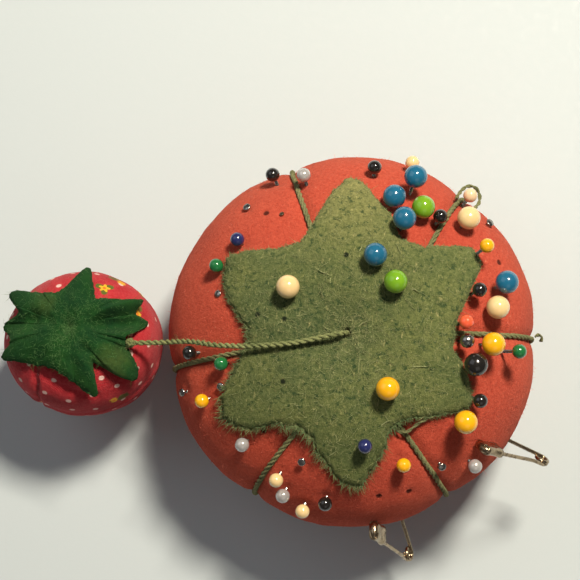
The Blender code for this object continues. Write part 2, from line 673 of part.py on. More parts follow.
def main():
    for piece in list(bpy.data.objects):
        bpy.data.objects.remove(piece)
    placed = place_pins()
    bores = make_bores(placed)
    for number, (coil, spine, arm) in enumerate(SAFETY_PINS, start=1):
        make_safety_pin(number, coil, spine, arm, bores)
    make_cushion(bores)
    make_star(bores)
    make_section_thread()
    make_strawberry()
    make_cord()
    make_pins(placed)


main()
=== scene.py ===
"""Looks of the tomato pin cushion: felt, threads, printed cotton, glass-headed pins and safety pins.

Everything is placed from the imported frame. Sizes are millimetres; MM turns them into metres where a
mesh is made. +X is the side away from the strawberry, +Z is up.
"""

import json
import math

import bmesh
import bpy
import numpy as np
from mathutils import Matrix, Vector, noise


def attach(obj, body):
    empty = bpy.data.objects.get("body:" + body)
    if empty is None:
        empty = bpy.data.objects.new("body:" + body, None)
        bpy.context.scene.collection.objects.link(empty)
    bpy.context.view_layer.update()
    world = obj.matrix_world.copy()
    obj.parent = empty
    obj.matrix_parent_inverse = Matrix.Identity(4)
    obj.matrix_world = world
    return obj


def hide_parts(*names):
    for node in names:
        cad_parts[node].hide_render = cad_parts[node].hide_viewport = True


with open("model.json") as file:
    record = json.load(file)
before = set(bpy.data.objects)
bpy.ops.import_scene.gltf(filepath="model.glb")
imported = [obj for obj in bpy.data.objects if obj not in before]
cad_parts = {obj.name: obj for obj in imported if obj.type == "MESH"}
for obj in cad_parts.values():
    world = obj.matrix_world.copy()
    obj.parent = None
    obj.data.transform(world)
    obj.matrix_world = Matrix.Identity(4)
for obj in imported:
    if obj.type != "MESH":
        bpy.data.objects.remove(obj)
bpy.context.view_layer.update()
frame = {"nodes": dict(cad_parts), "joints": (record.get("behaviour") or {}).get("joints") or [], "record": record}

MM = 0.001
SLOTS = {part["node"]: part["material_slot"] for part in frame["record"]["subparts"]}
JOINTS = {joint["name"]: joint for joint in frame["joints"]}

# Camera and light
CAMERA_PLACE = (11.5, -19.9, 350.2)
CAMERA_AIM = (-11.6, 9.7, 21.0)
CAMERA_LENS = 108.2
LIGHTS = [                        # name, place in metres, size, watts, colour
    ("key", (0.15, 0.24, 0.48), 0.09, 4.4, (1.0, 0.91, 0.76)),
    ("fill", (-0.40, 0.25, 0.50), 0.5, 0.55, (0.90, 0.94, 1.0)),
    ("front", (0.15, -0.45, 0.50), 0.4, 0.2, (1.0, 0.95, 0.88)),
]
LAMP_AIM = Vector((0, 0, 0.02))    # metres
WORLD_COLOUR = (1.0, 0.97, 0.94, 1.0)
WORLD_STRENGTH = 0.10
FLOOR_COLOUR = (0.56, 0.62, 0.64)
FLOOR_ROUGHNESS = 0.8
FLOOR_REACH = 2.0

# Cushion, as the solid model has it
CUSHION_RADIUS = 35.0
CUSHION_EQUATOR = 20.0
CUSHION_TOP = 24.0
CUSHION_LOW = 21.0
TOP_DIMPLE = 2.0
DIMPLE_WIDTH = 7.0
BASE_DIMPLE = 1.6
BASE_DIMPLE_RADIUS = 11.0
COVER_THICKNESS = 1.3
TOP_ANGLE, BASE_ANGLE = 86.8, -87.8      # the rows at the cover's two gathered openings
FURROW_DEPTH = 1.0
FURROW_DEPTH_BASE = 1.7
FURROW_WIDTH = 1.25
LOBE_DROP = 0.5
LOBE_WIDTH = 6.0
GATHER_START, GATHER_END = 4.0, 10.0
CUSHION_COLUMNS, CUSHION_ROWS, INNER_ROWS = 360, 120, 26
BASE_PLEAT, BASE_PLEATS = 0.16, 26         # depth and number of the pleats round the base opening

# Section threads: azimuth at the rim and at the centre of the top
THREADS = [(0.0, 2.0), (51.3, 20.0), (109.0, 107.0), (189.2, 189.2), (237.5, 262.0), (301.5, 291.5)]
THREAD_RADIUS, THREAD_PITCH = 0.5, 4.4
BUNDLE_RADIUS, BUNDLE_PITCH = 1.45, 14.0  # of all the threads together, through the middle
BASE_KNOT_YARN, BASE_KNOT_PITCH, BASE_KNOT_STEPS = 0.46, 2.4, 90
LOOSE_PITCH = 3.4
# Loose ends of yarn: a slack loop at the rim, a strayed thread across a section thread, a thread's end
LOOSE_YARNS = [
    ("slack_loop", [(19.8, 25.6, 30.6), (20.7, 27.2, 28.2), (21.7, 28.3, 26.5), (22.8, 28.6, 25.2),
                    (23.7, 28.2, 24.6), (24.2, 27.3, 24.5), (24.3, 26.1, 24.8), (23.9, 25.0, 25.6),
                    (23.0, 24.0, 27.0)], 0.36),
    ("stray_thread", [(7.2, -15.2, 40.7), (8.0, -16.4, 40.9), (9.3, -17.4, 41.0), (10.6, -17.3, 40.9),
                      (12.2, -16.1, 40.9), (14.2, -14.9, 40.9), (15.6, -14.3, 40.6)], 0.30),
    ("rim_end", [(34.6, 0.6, 22.5), (35.2, 0.9, 21.0), (35.8, 0.5, 20.2), (35.7, -0.2, 19.6)], 0.34),
]

# Star leaf: azimuth and radius of each corner of its outline
STAR_OUTLINE = [
    (97, 25.0), (90, 28.4), (84, 27.5), (77, 24.0), (69, 22.4), (61, 19.0),
    (48, 20.2), (40, 24.2), (35, 26.9), (28, 26.9), (20, 23.0), (6, 19.0),
    (351, 18.4), (342, 21.8), (334, 24.0), (328, 24.7), (317, 20.8), (303, 17.8),
    (294, 18.2), (287, 21.2), (274, 26.8), (266, 25.6), (258, 21.6), (245, 18.2),
    (232, 19.6), (223, 24.3), (214, 26.3), (207, 25.2), (200, 21.9), (186, 17.2),
    (176, 17.4), (165, 21.6), (155, 24.2), (147, 25.7), (139, 22.7), (129, 19.2),
    (116, 17.9), (106, 20.6),
]
STAR_LIFT = 0.65
STAR_THICKNESS = 1.25
STAR_HOLE = 0.9
STAR_COLUMNS, STAR_ROWS = 640, 34
STAR_ROUNDING = 1.2               # degrees that a corner of the outline is rounded by
STAR_SAG = 1.0
STAR_FRINGE, FRINGE_THICKNESS, FRINGE_CURL = 4200, 0.06, 0.35

# Pins
HEAD_RADIUS = {"large": 2.1, "small": 1.3, "steel": 0.75}
SHANK_LENGTH = {"large": 30.0, "small": 26.0, "steel": 24.0}
SHANK_RADIUS = 0.3
POINT_LENGTH = 2.5
BEAD_SIDES, FLAT_HEAD_SIDES, SHANK_SIDES = 28, 20, 10
PIN_NAMES = [node for node in SLOTS if "_pin_" in node and not node.startswith("safety")]
# Heads with no solid of their own: name, azimuth, radius from the middle, head radius and metal
SMALL_HEADS = [("brass_speck", 118.4, 25.3, 0.45, "brassed_steel"), ("sunk_head", 162.1, 24.6, 0.7, "steel")]

# Safety pins
WIRE_RADIUS = 0.35
COIL_MID_RADIUS = 1.1
SAFETY_PIN_LENGTH = 19.0
ARM_LENGTH = 18.0
CAP_LENGTH = 5.0
CAP_HALF_WIDTH, CAP_HALF_HEIGHT = 1.78, 0.95
CAP_SHEET_WIDE, CAP_SHEET_TALL = 0.30, 0.29    # its sheet, across the lobes and over them
CAP_RINGS = 9
COIL_RISE = 0.37                  # from the coil's middle to its first and last turn
COIL_STEPS, WIRE_SIDES = 64, 10
SAFETY_PIN_NUMBERS = (1, 2)

# Strawberry, in its own frame: tip at the origin, axis up
BERRY_RADIUS = 14.2
BERRY_STRETCH = (1.07, 0.97)
BERRY_EQUATOR = 20.0
BERRY_TOP = 12.6
BERRY_LOW = 19.9
BERRY_DIMPLE = 1.2
BERRY_DIMPLE_WIDTH = 4.0
BERRY_TIP = (-51.3, -3.0, 0.15)
BERRY_LEAN = 8.0
BERRY_PLACE = Matrix.Translation(BERRY_TIP) @ Matrix.Rotation(math.radians(-BERRY_LEAN), 4, "X")
BERRY_OPENING = 3.0
BERRY_ROWS, BERRY_INNER_ROWS, BERRY_COLUMNS = 110, 20, 220
COTTON_THICKNESS = 0.8
SEAM_AZIMUTH = -122.5
FOLD_ROUTE = [(-5.2, -8.2), (-2.6, -10.2), (0.6, -11.3), (4.2, -11.6)]
CROWN_GATHERS, CROWN_GATHER = 13, 0.28    # number and depth of the gathers under the leaf cap
LEAF_CAP_OUTLINE = [
    (78, 13.2), (52, 7.0), (24, 15.8), (17, 10.6), (10, 14.8), (-12, 9.8), (-29, 14.0), (-40, 15.0),
    (-57, 6.8), (-66, 14.3), (-114, 7.7), (-162, 15.4), (-170, 10.8), (-189, 15.0), (-198, 9.6),
    (-211, 16.4), (-247, 7.0),
]
LEAF_CAP_LIFT = 1.7
LEAF_CAP_DROP = 4.8
LEAF_CAP_REACH = 14.0
CAP_THICKNESS = 1.15
CAP_HOLE = 0.12
CAP_COLUMNS, CAP_ROWS = 420, 24
CAP_ROUNDING = 4.5
# Leaves of the cap: azimuth of the tip, half width in degrees, lift of the tip, rise of its edges
LEAVES = [
    (76, 28, 0.9, -0.9), (25, 10, 0.6, -0.4), (8, 18, -1.0, 1.5), (-39, 22, 0.5, -0.9),
    (-65, 20, 1.2, -0.9), (-159, 30, 0.9, -0.9), (-186, 17, -0.6, 0.7), (-210, 22, 1.0, -0.7),
]
# Hollows and ridges of the cap: place, width and height
CAP_FOLDS = [
    (7.0, 0.4, 2.2, -1.7), (4.0, 0.6, 1.5, -1.1), (9.8, 1.2, 1.8, -1.2), (-6.6, 2.1, 1.3, -1.7),
    (-4.0, 1.4, 1.1, -1.1), (0.0, 0.2, 1.4, -1.3), (-4.6, 5.0, 2.4, 0.7), (3.2, -4.2, 1.2, -1.1),
    (2.0, 4.5, 2.2, 0.6), (-3.0, -3.6, 2.5, 0.6), (6.6, 3.6, 1.7, 0.9), (7.4, -2.6, 1.6, 0.7),
    (11.5, -0.6, 1.4, 0.8), (-8.8, 0.0, 1.5, 0.5),
]

# Strawberry cord, along the same route as its solid
CORD_RADIUS = 0.6
CORD_FULLNESS = 0.82              # the drawn yarn's radius as a share of the cord's
CORD_PITCH = 2.7
CORD_ROUTE = [
    (0.0, 0.0, 42.6), (0.0, 0.0, 43.9), (-0.5, -0.1, 45.1), (-1.7, -0.3, 45.9), (-4.0, -0.8, 46.2),
    (-8.2, -1.7, 46.3), (-12.0, -2.1, 46.1), (-15.6, -2.3, 45.5), (-18.5, -2.3, 44.5),
    (-21.0, -2.1, 42.9), (-23.6, -1.9, 41.4), (-26.2, -1.4, 39.6), (-28.8, -1.0, 37.4),
    (-31.4, -0.9, 35.3), (-33.8, -0.9, 33.6), (-36.2, -0.9, 32.5), (-38.75, -0.9, 32.2),
]
CORD_END = (-39.7, -0.9, 32.2)    # inside the stitch that holds it
KNOT_REACH = 0.6
KNOT_STEPS = 180
KNOT_YARN, KNOT_PITCH = 0.36, 1.8
KNOT_TAIL = [(0.3, 0.2, -0.2), (-0.9, -0.9, -0.6), (-1.6, -1.9, -1.2), (-1.8, -2.8, -1.9)]

# Colours, all linear
RED, RED_DARK, RED_LIGHT = (0.57, 0.070, 0.036), (0.46, 0.048, 0.027), (0.72, 0.150, 0.085)
# the last colour on the next line is painted shade for the inside of the needle holes
RED_SHADE, RED_LINT, RED_HOLE_SHADE = (0.25, 0.020, 0.012), (0.70, 0.32, 0.20), (0.08, 0.010, 0.006)
GREEN_FADED, GREEN_DUSTY, GREEN_STAIN = (0.150, 0.190, 0.054), (0.070, 0.122, 0.036), (0.024, 0.076, 0.032)
GREEN_PALE = (0.40, 0.37, 0.13)
# the last colour on the next line is painted shade for the inside of the star's needle holes
GREEN_SHADE, GREEN_SPECK, GREEN_HOLE_SHADE = (0.030, 0.050, 0.014), (0.018, 0.048, 0.018), (0.010, 0.016, 0.008)
STRAW = (0.52, 0.46, 0.20)
COTTON, COTTON_DARK, COTTON_WORN = (0.50, 0.026, 0.036), (0.34, 0.010, 0.018), (0.68, 0.110, 0.105)
PRINT_WHITE, PRINT_YELLOW, PRINT_ORANGE = (0.86, 0.62, 0.55), (0.80, 0.46, 0.03), (0.75, 0.18, 0.02)
PRINT_GREEN, PRINT_BLUE = (0.11, 0.13, 0.02), (0.12, 0.12, 0.24)
BEADS = {
    "cream": ((0.80, 0.59, 0.29), (0.72, 0.45, 0.19)),
    "pale": ((0.80, 0.60, 0.38), (0.66, 0.38, 0.20)),
    "blue": ((0.012, 0.125, 0.230), (0.008, 0.070, 0.140)),
    "navy": ((0.018, 0.024, 0.110), (0.010, 0.012, 0.060)),
    "lime": ((0.180, 0.370, 0.016), (0.060, 0.240, 0.012)),
    "green": ((0.012, 0.150, 0.040), (0.008, 0.085, 0.028)),
    "yellow": ((0.860, 0.430, 0.006), (0.820, 0.300, 0.004)),
    "black": ((0.010, 0.009, 0.008), (0.022, 0.016, 0.012)),
    "coral": ((0.800, 0.110, 0.045), (0.700, 0.060, 0.030)),
    "pearl": ((0.520, 0.500, 0.490), (0.240, 0.200, 0.190)),
}
BEAD_DUST = (0.75, 0.70, 0.62)
LEAF, LEAF_DEEP, LEAF_SHADE = (0.022, 0.095, 0.020), (0.010, 0.058, 0.018), (0.003, 0.014, 0.004)
LEAF_FADED = (0.105, 0.160, 0.040)

# Marks on the cloth: needle holes as azimuth and radius, darkened with painted shade, faded places of the leaf
# cap, and the print
CUSHION_PRICKS = [(123.6, 27.2), (291.1, 30.4), (280.6, 29.4), (228.5, 23.1), (26.2, 30.7)]
STAR_PRICKS = [(90.0, 13.4), (217.3, 13.7), (168.0, 15.6), (167.2, 11.0), (106.7, 15.2), (99.7, 7.8),
               (73.3, 13.3)]
FADED_LEAVES = [(-4.6, 4.7, 34.0, 1.5), (7.6, -5.8, 32.0, 2.6)]    # place and size
PRINT_CELL = 4.7                  # from one printed dot to the next
DOT_SIZE = 0.10                   # radius of a dot, in cells
COTTON_PITCH = 0.42
PRINT_FLOWERS = [(55, 25), (19.5, 40), (-62, 13), (-123, -10)]     # azimuth and row angle
PRINT_DAISY = (-27.2, 49.4)

SEED = 20
# Loose fibres: count, length, thickness, how flat they lie and the step from SEED
LOOSE_FIBRES = {
    "cover_fuzz": (3400, 0.7, 0.028, 0.7, 3),
    "star_fuzz": (2600, 1.3, 0.035, 0.85, 2),
    "straw_slivers": (22, 2.6, 0.12, 0.9, 6),
    "leaf_fuzz": (1500, 1.0, 0.035, 0.8, 5),
    "yarn_fuzz": (260, 0.9, 0.03, 0.6, 8),
}


# ---------------------------------------------------------------- small helpers

def power(base, exponent):
    return max(base, 0.0) ** exponent


def blend(value, start, end):
    """0 before start, 1 after end, and smooth between them."""
    t = min(max((value - start) / (end - start), 0.0), 1.0)
    return t * t * (3 - 2 * t)


def bell(value, width):
    """1 at zero, falling off smoothly within about width on both sides."""
    return math.exp(-(value / width) ** 2)


def polar(azimuth, radius, height=0.0):
    turn = math.radians(azimuth)
    return Vector((radius * math.cos(turn), radius * math.sin(turn), height))


def turn_between(a, b):
    """Signed difference of two azimuths in degrees, from -180 to 180."""
    return (a - b + 180.0) % 360.0 - 180.0


def add_object(name, data):
    item = bpy.data.objects.new(name, data)
    bpy.context.scene.collection.objects.link(item)
    return item


def add_mesh(name, points, faces, material, body, replaced=(), smooth=True, matrix=None):
    """A mesh piece from points in millimetres, riding on a body."""
    mesh = bpy.data.meshes.new(name)
    if matrix is not None:
        points = [matrix @ Vector(point) for point in points]
    mesh.from_pydata([tuple(c * MM for c in point) for point in points], [], faces)
    shape = bmesh.new()
    shape.from_mesh(mesh)
    bmesh.ops.recalc_face_normals(shape, faces=shape.faces)
    shape.to_mesh(mesh)
    shape.free()
    if smooth:
        mesh.shade_smooth()
    mesh.materials.append(material)
    piece = add_object(name, mesh)
    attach(piece, body)
    for node in replaced:
        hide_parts(node)
    return piece


def ring_faces(rings, columns, looped=False, caps=False, start=0):
    """Quads between consecutive rings of points, optionally back to the first ring or with flat caps."""
    faces = []
    count = rings if looped else rings - 1
    for row in range(count):
        below, above = start + row * columns, start + ((row + 1) % rings) * columns
        for k in range(columns):
            nxt = (k + 1) % columns
            faces.append((below + k, below + nxt, above + nxt, above + k))
    if caps:
        faces.append(tuple(start + k for k in range(columns))[::-1])
        faces.append(tuple(start + (rings - 1) * columns + k for k in range(columns)))
    return faces


def carried_frames(path):
    """A tangent and two side vectors at each point of a path, turning as little as possible."""
    frames = []
    side = None
    for k, point in enumerate(path):
        ahead = path[min(k + 1, len(path) - 1)] - path[max(k - 1, 0)]
        tangent = ahead.normalized()
        if side is None:
            side = tangent.orthogonal().normalized()
        side = (side - tangent * side.dot(tangent)).normalized()
        frames.append((tangent, side, tangent.cross(side)))
    return frames


def even_path(points, spacing):
    """The same path with points at an even spacing."""
    lengths = [0.0]
    for a, b in zip(points, points[1:]):
        lengths.append(lengths[-1] + (b - a).length)
    count = max(int(lengths[-1] / spacing), 2)
    wanted = np.linspace(0, lengths[-1], count + 1)
    axes = [np.interp(wanted, lengths, [p[k] for p in points]) for k in range(3)]
    return [Vector(place) for place in zip(*axes)]


def smooth_route(route, steps):
    """Points along a smooth curve through the route's own points."""
    points = [Vector(place) for place in route]
    padded = [points[0] * 2 - points[1]] + points + [points[-1] * 2 - points[-2]]
    curve = []
    for a, b, c, d in zip(padded, padded[1:], padded[2:], padded[3:]):
        for k in range(steps):
            t = k / steps
            curve.append(0.5 * (2 * b + (c - a) * t + (2 * a - 5 * b + 4 * c - d) * t ** 2
                                + (3 * b - a - 3 * c + d) * t ** 3))
    return curve + [points[-1]]


def tube_rings(path, radius, sides, points, faces):
    """Adds a round tube along a path; radius is a number or a function of the share of its length."""
    start = len(points)
    for k, (place, (_, side, other)) in enumerate(zip(path, carried_frames(path))):
        size = radius(k / (len(path) - 1)) if callable(radius) else radius
        for j in range(sides):
            turn = math.tau * j / sides
            points.append(place + side * (size * math.cos(turn)) + other * (size * math.sin(turn)))
    faces += ring_faces(len(path), sides, caps=True, start=start)


def twisted(path, plies, radius, pitch, points, faces, sides):
    """Adds a twisted yarn: plies wound round each other along the path."""
    frames = carried_frames(path)
    spacing = (path[1] - path[0]).length
    out = radius * (0.5 if plies == 2 else 0.53)
    for ply in range(plies):
        strand = []
        for k, (place, (_, side, other)) in enumerate(zip(path, frames)):
            turn = math.tau * (ply / plies + k * spacing / pitch)
            strand.append(place + side * (out * math.cos(turn)) + other * (out * math.sin(turn)))
        tube_rings(strand, radius - out + radius * 0.06, sides, points, faces)


def add_wire(name, path, radius, sides, material, body, node, matrix):
    """A round wire along a path; radius is a number or a function of the share of its length."""
    points, faces = [], []
    tube_rings(path, radius, sides, points, faces)
    return add_mesh(name, points, faces, material, body, [node], matrix=matrix)


def add_yarns(name, yarns, material, body, replaced=()):
    """One mesh of twisted yarns, each given as its path, plies, radius, pitch and sides."""
    points, faces = [], []
    for path, plies, radius, pitch, sides in yarns:
        twisted(path, plies, radius, pitch, points, faces, sides)
    return add_mesh(name, points, faces, material, body, replaced)


def fibres(name, roots, directions, lengths, thickness, material, body, seed, curl=0.5):
    """Short tapered hairs, each a small closed spike with one bend in it."""
    rng = np.random.default_rng(seed)
    points, faces = [], []
    for root, direction, length in zip(roots, directions, lengths):
        bend = Vector(rng.normal(0, 1, 3)) * curl * length
        lean = direction * length + bend * 0.5
        side = lean.orthogonal().normalized() * thickness
        other = lean.normalized().cross(side)
        s = len(points)
        for place, share in ((root, 1.0), (root + lean * 0.5, 0.7)):
            for turn in (0.0, math.tau / 3, 2 * math.tau / 3):
                points.append(place + (side * math.cos(turn) + other * math.sin(turn)) * share)
        points.append(root + lean + bend * 0.35)
        faces += [(s + 2, s + 1, s), (s, s + 1, s + 4, s + 3), (s + 1, s + 2, s + 5, s + 4),
                  (s + 2, s, s + 3, s + 5), (s + 3, s + 4, s + 6), (s + 4, s + 5, s + 6),
                  (s + 5, s + 3, s + 6)]
    return add_mesh(name, points, faces, material, body, smooth=False)


def scattered_fibres(name, surface, body, material, keep):
    """Loose fibres rooted on a mesh's faces, lying mostly along it; keep says which places take one."""
    count, length, thickness, flat, step = LOOSE_FIBRES[name]
    rng = np.random.default_rng(SEED + step)
    faces = [face for face in surface.data.polygons if keep(face.center / MM, face.normal)]
    roots, directions, lengths = [], [], []
    for index in rng.integers(0, len(faces), count):
        face = faces[index]
        corners = [surface.data.vertices[k].co for k in face.vertices]
        shares = rng.dirichlet(np.ones(len(corners)))
        root = sum((corner * float(share) for corner, share in zip(corners, shares)), Vector()) / MM
        loose = Vector(rng.normal(0, 1, 3))
        along = (loose - face.normal * loose.dot(face.normal)).normalized()
        directions.append((along * flat + face.normal * (1 - flat * 0.8)).normalized())
        roots.append(root - face.normal * thickness)
        lengths.append(length * float(rng.uniform(0.5, 1.25)))
    piece = fibres(name, roots, directions, lengths, thickness, material, body, SEED + step + 1)


# ---------------------------------------------------------------- materials

class Surface:
    """A Principled material and short ways to add nodes to it. Texture space is millimetres."""

    def __init__(self, name, roughness, metallic=0.0, coat=0.0, specular=0.5,
                 sheen=0.0, sheen_roughness=0.5, sheen_tint=(1.0, 1.0, 1.0)):
        self.material = bpy.data.materials.new(name)
        self.material.use_nodes = True
        self.nodes = self.material.node_tree.nodes
        self.links = self.material.node_tree.links
        self.shader = self.nodes["Principled BSDF"]
        for socket, value in (("Roughness", roughness), ("Metallic", metallic), ("Coat Weight", coat),
                              ("Specular IOR Level", specular), ("Sheen Weight", sheen),
                              ("Sheen Roughness", sheen_roughness), ("Sheen Tint", (*sheen_tint, 1.0))):
            self.shader.inputs[socket].default_value = value
        place = self.nodes.new("ShaderNodeTexCoord")
        self.space = self.add("ShaderNodeMapping", Vector=place.outputs["Object"])
        self.space.inputs["Scale"].default_value = (1 / MM, 1 / MM, 1 / MM)

    def add(self, kind, settings=None, **inputs):
        node = self.nodes.new(kind)
        for key, value in (settings or {}).items():
            setattr(node, key, value)
        for key, value in inputs.items():
            self.plug(node.inputs[key.replace("_", " ")], value)
        return node

    def plug(self, socket, value):
        if isinstance(value, bpy.types.NodeSocket):
            self.links.new(value, socket)
        elif isinstance(value, bpy.types.Node):
            self.links.new(value.outputs[0], socket)
        else:
            socket.default_value = value

    def noise(self, size, detail=4.0, roughness=0.55, stretch=None):
        """Noise from 0 to 1 whose features are about size millimetres."""
        vector = self.space
        if stretch:
            vector = self.add("ShaderNodeMapping", Vector=vector)
            vector.inputs["Scale"].default_value = stretch
        node = self.add("ShaderNodeTexNoise", Vector=vector, Scale=1.0 / size, Detail=detail,
                        Roughness=roughness)
        return node.outputs["Fac"]

    def vector(self, operation, *values):
        node = self.add("ShaderNodeVectorMath", {"operation": operation})
        for socket, value in zip(node.inputs, values):
            self.plug(socket, value)
        return node

    def distance(self, place):
        """Distance in millimetres from a place of the object at rest."""
        return self.vector("DISTANCE", self.space, place).outputs["Value"]

    def math(self, operation, a, b=0.0):
        node = self.add("ShaderNodeMath", {"operation": operation})
        self.plug(node.inputs[0], a)
        self.plug(node.inputs[1], b)
        return node.outputs[0]

    def plus(self, a, b):
        return self.math("ADD", a, b)

    def times(self, a, b):
        return self.math("MULTIPLY", a, b)

    def ramp(self, value, low, high, start=0.0, end=1.0):
        """value mapped from low..high to start..end, held at both ends."""
        node = self.add("ShaderNodeMapRange", Value=value, From_Min=low, From_Max=high, To_Min=start,
                        To_Max=end)
        return node.outputs[0]

    def mix(self, share, a, b):
        node = self.add("ShaderNodeMix", {"data_type": "RGBA"})
        self.plug(node.inputs[0], share)
        for socket, colour in ((node.inputs[6], a), (node.inputs[7], b)):
            self.plug(socket, (*colour, 1.0) if isinstance(colour, tuple) else colour)
        return node.outputs[2]

    def colour(self, value):
        self.plug(self.shader.inputs["Base Color"], value)

    def roughness(self, value):
        self.plug(self.shader.inputs["Roughness"], value)

    def bump(self, height, depth):
        """Raises the surface by up to depth millimetres where height is 1."""
        node = self.add("ShaderNodeBump", Height=height)
        node.inputs["Distance"].default_value = depth * MM
        node.inputs["Strength"].default_value = 1.0
        self.plug(self.shader.inputs["Normal"], node)


# ---------------------------------------------------------------- the outlines of cushion and berry

def cushion_meridian(angle):
    """Radius and height of the cushion's full outline at a row angle in degrees, 90 at the top."""
    cosine, sine = math.cos(math.radians(angle)), math.sin(math.radians(angle))
    if angle >= 0:
        radius = CUSHION_RADIUS * power(cosine, 0.9)
        dimple = TOP_DIMPLE * bell(radius, DIMPLE_WIDTH)
        return radius, CUSHION_EQUATOR + CUSHION_TOP * power(sine, 0.9) - dimple
    radius = CUSHION_RADIUS * power(cosine, 0.8)
    height = max(CUSHION_EQUATOR - CUSHION_LOW * power(-sine, 0.8), 0.0)
    if radius < BASE_DIMPLE_RADIUS:
        height = BASE_DIMPLE * (1 - (radius / BASE_DIMPLE_RADIUS) ** 2)
    return radius, height


def berry_meridian(angle):
    """The same for the strawberry's body, before it is stretched."""
    cosine, sine = math.cos(math.radians(angle)), math.sin(math.radians(angle))
    if angle >= 0:
        radius = BERRY_RADIUS * power(cosine, 0.75)
        dimple = BERRY_DIMPLE * bell(radius, BERRY_DIMPLE_WIDTH)
        return radius, BERRY_EQUATOR + BERRY_TOP * power(sine, 0.75) - dimple
    return BERRY_RADIUS * power(cosine, 1.1), BERRY_EQUATOR - BERRY_LOW * power(-sine, 1.05)


def meridian_normal(meridian, angle):
    before, after = meridian(min(angle + 0.5, 90.0)), meridian(max(angle - 0.5, -90.0))
    along = Vector((after[0] - before[0], after[1] - before[1])).normalized()
    return -along.y, along.x


def even_angles(meridian, top, base, count):
    """Row angles from top to base, evenly spaced along the meridian."""
    fine = np.linspace(top, base, 1500)
    places = np.array([meridian(angle) for angle in fine])
    lengths = np.concatenate([[0], np.cumsum(np.hypot(*np.diff(places, axis=0).T))])
    return np.interp(np.linspace(0, lengths[-1], count), lengths, fine), lengths[-1]


def thread_azimuth(thread, radius, angle):
    rim, centre = thread
    if angle < 0:
        return rim
    return rim + (centre - rim) * (1 - min(radius / CUSHION_RADIUS, 1.0)) ** 2


def furrow_depth(angle):
    return FURROW_DEPTH + (FURROW_DEPTH_BASE - FURROW_DEPTH) * blend(-angle, 40.0, 64.0)


def lobe_drop(radius):
    return LOBE_DROP * blend(radius, 15.0, 24.0)


def cushion_inward(azimuth, angle, radius):
    """How far the threads pull the cover in: a tight crease on a soft shoulder, closed up at the middle."""
    nearest = min(abs(turn_between(azimuth, thread_azimuth(thread, radius, angle))) for thread in THREADS)
    distance = radius * math.radians(nearest)
    depth = furrow_depth(angle)
    crease = 0.72 * bell(distance, FURROW_WIDTH) + 0.28 * bell(distance, LOBE_WIDTH)
    gathered = 1 - blend(radius, GATHER_START, GATHER_END)
    lobe = lobe_drop(radius) * bell(distance, LOBE_WIDTH)
    return depth * max(crease, gathered) + lobe


def cushion_point(azimuth, angle, offset=0.0, creased=True):
    """A point of the cushion's surface, moved out by offset along its outline's normal."""
    radius, height = cushion_meridian(angle)
    out, up = meridian_normal(cushion_meridian, angle)
    if creased:
        offset -= cushion_inward(azimuth, angle, radius)
    return polar(azimuth, radius + out * offset, height + up * offset)


UPPER_ANGLES = np.linspace(90.0, 0.0, 400)
UPPER_PLACES = np.array([cushion_meridian(angle) for angle in UPPER_ANGLES])


def top_angle(radius):
    """The row angle at a plan radius on the cushion's upper side."""
    return float(np.interp(radius, UPPER_PLACES[:, 0], UPPER_ANGLES))


def surface_normal(azimuth, angle):
    out, up = meridian_normal(cushion_meridian, angle)
    return polar(azimuth, out, up).normalized()


def berry_point(azimuth, angle, offset=0.0):
    radius, height = berry_meridian(angle)
    out, up = meridian_normal(berry_meridian, angle)
    place = polar(azimuth, radius + out * offset, height + up * offset)
    return Vector((place.x * BERRY_STRETCH[0], place.y * BERRY_STRETCH[1], place.z))


# ---------------------------------------------------------------- materials of the pieces

def painted(surface, colour, place, size, soft, cover, paint, ragged=0.0):
    """A soft-edged spot of paint at a place of the object at rest; ragged is added to the distance."""
    apart = surface.plus(surface.distance(place), ragged)
    return surface.mix(surface.ramp(apart, size, size + soft, cover, 0.0), colour, paint)


def pricked(surface, colour, places, offset, size, dark):
    """Paints shade into small round needle holes at places on the cushion: (azimuth, radius)."""
    for azimuth, radius in places:
        spot = cushion_point(azimuth, top_angle(radius), offset)
        colour = painted(surface, colour, spot, size, size * 0.7, 1.0, dark)
    return colour


def felt_grain(surface, tangle, hairs, stretch, spread):
    """Matted wool: shading from 0 to 1 that is mixed spread either side of the middle, and its height.

    tangle and hairs are noise()'s size, detail and roughness; hairs run both ways, stretched by stretch.
    """
    tangle = surface.noise(*tangle)
    one_way = surface.noise(*hairs, stretch=(1.0, stretch, 1.5))
    other_way = surface.noise(*hairs, stretch=(stretch, 1.0, 1.5))
    weave = surface.times(surface.plus(one_way, other_way), 0.5)
    both = surface.plus(surface.times(tangle, 0.5), surface.times(weave, 0.5))
    return surface.ramp(both, 0.5 - spread, 0.5 + spread), surface.plus(tangle, weave)


def cushion_felt():
    """Red felt, cloudy, with pale lint and needle holes darkened by painted shade."""
    surface = Surface("felt_red", 0.95, specular=0.1, sheen=0.12, sheen_roughness=0.55,
                      sheen_tint=(1.0, 0.55, 0.40))
    fine, height = felt_grain(surface, (0.6, 6.0, 0.7), (0.55, 4.0, 0.6), 5.0, 0.14)
    colour = surface.mix(surface.ramp(surface.noise(14.0, 3.0), 0.35, 0.65), RED_DARK, RED)
    colour = surface.mix(fine, surface.mix(0.5, colour, RED_SHADE), surface.mix(0.5, colour, RED_LIGHT))
    lint = surface.ramp(surface.noise(1.1, 3.0, 0.6), 0.70, 0.76)
    colour = surface.mix(surface.times(lint, 0.5), colour, RED_LINT)
    # painted shade: the needle holes are darkened to stand in for the shade inside them
    surface.colour(pricked(surface, colour, CUSHION_PRICKS, -0.4, 0.42, RED_HOLE_SHADE))
    surface.bump(height, 0.28)
    return surface.material


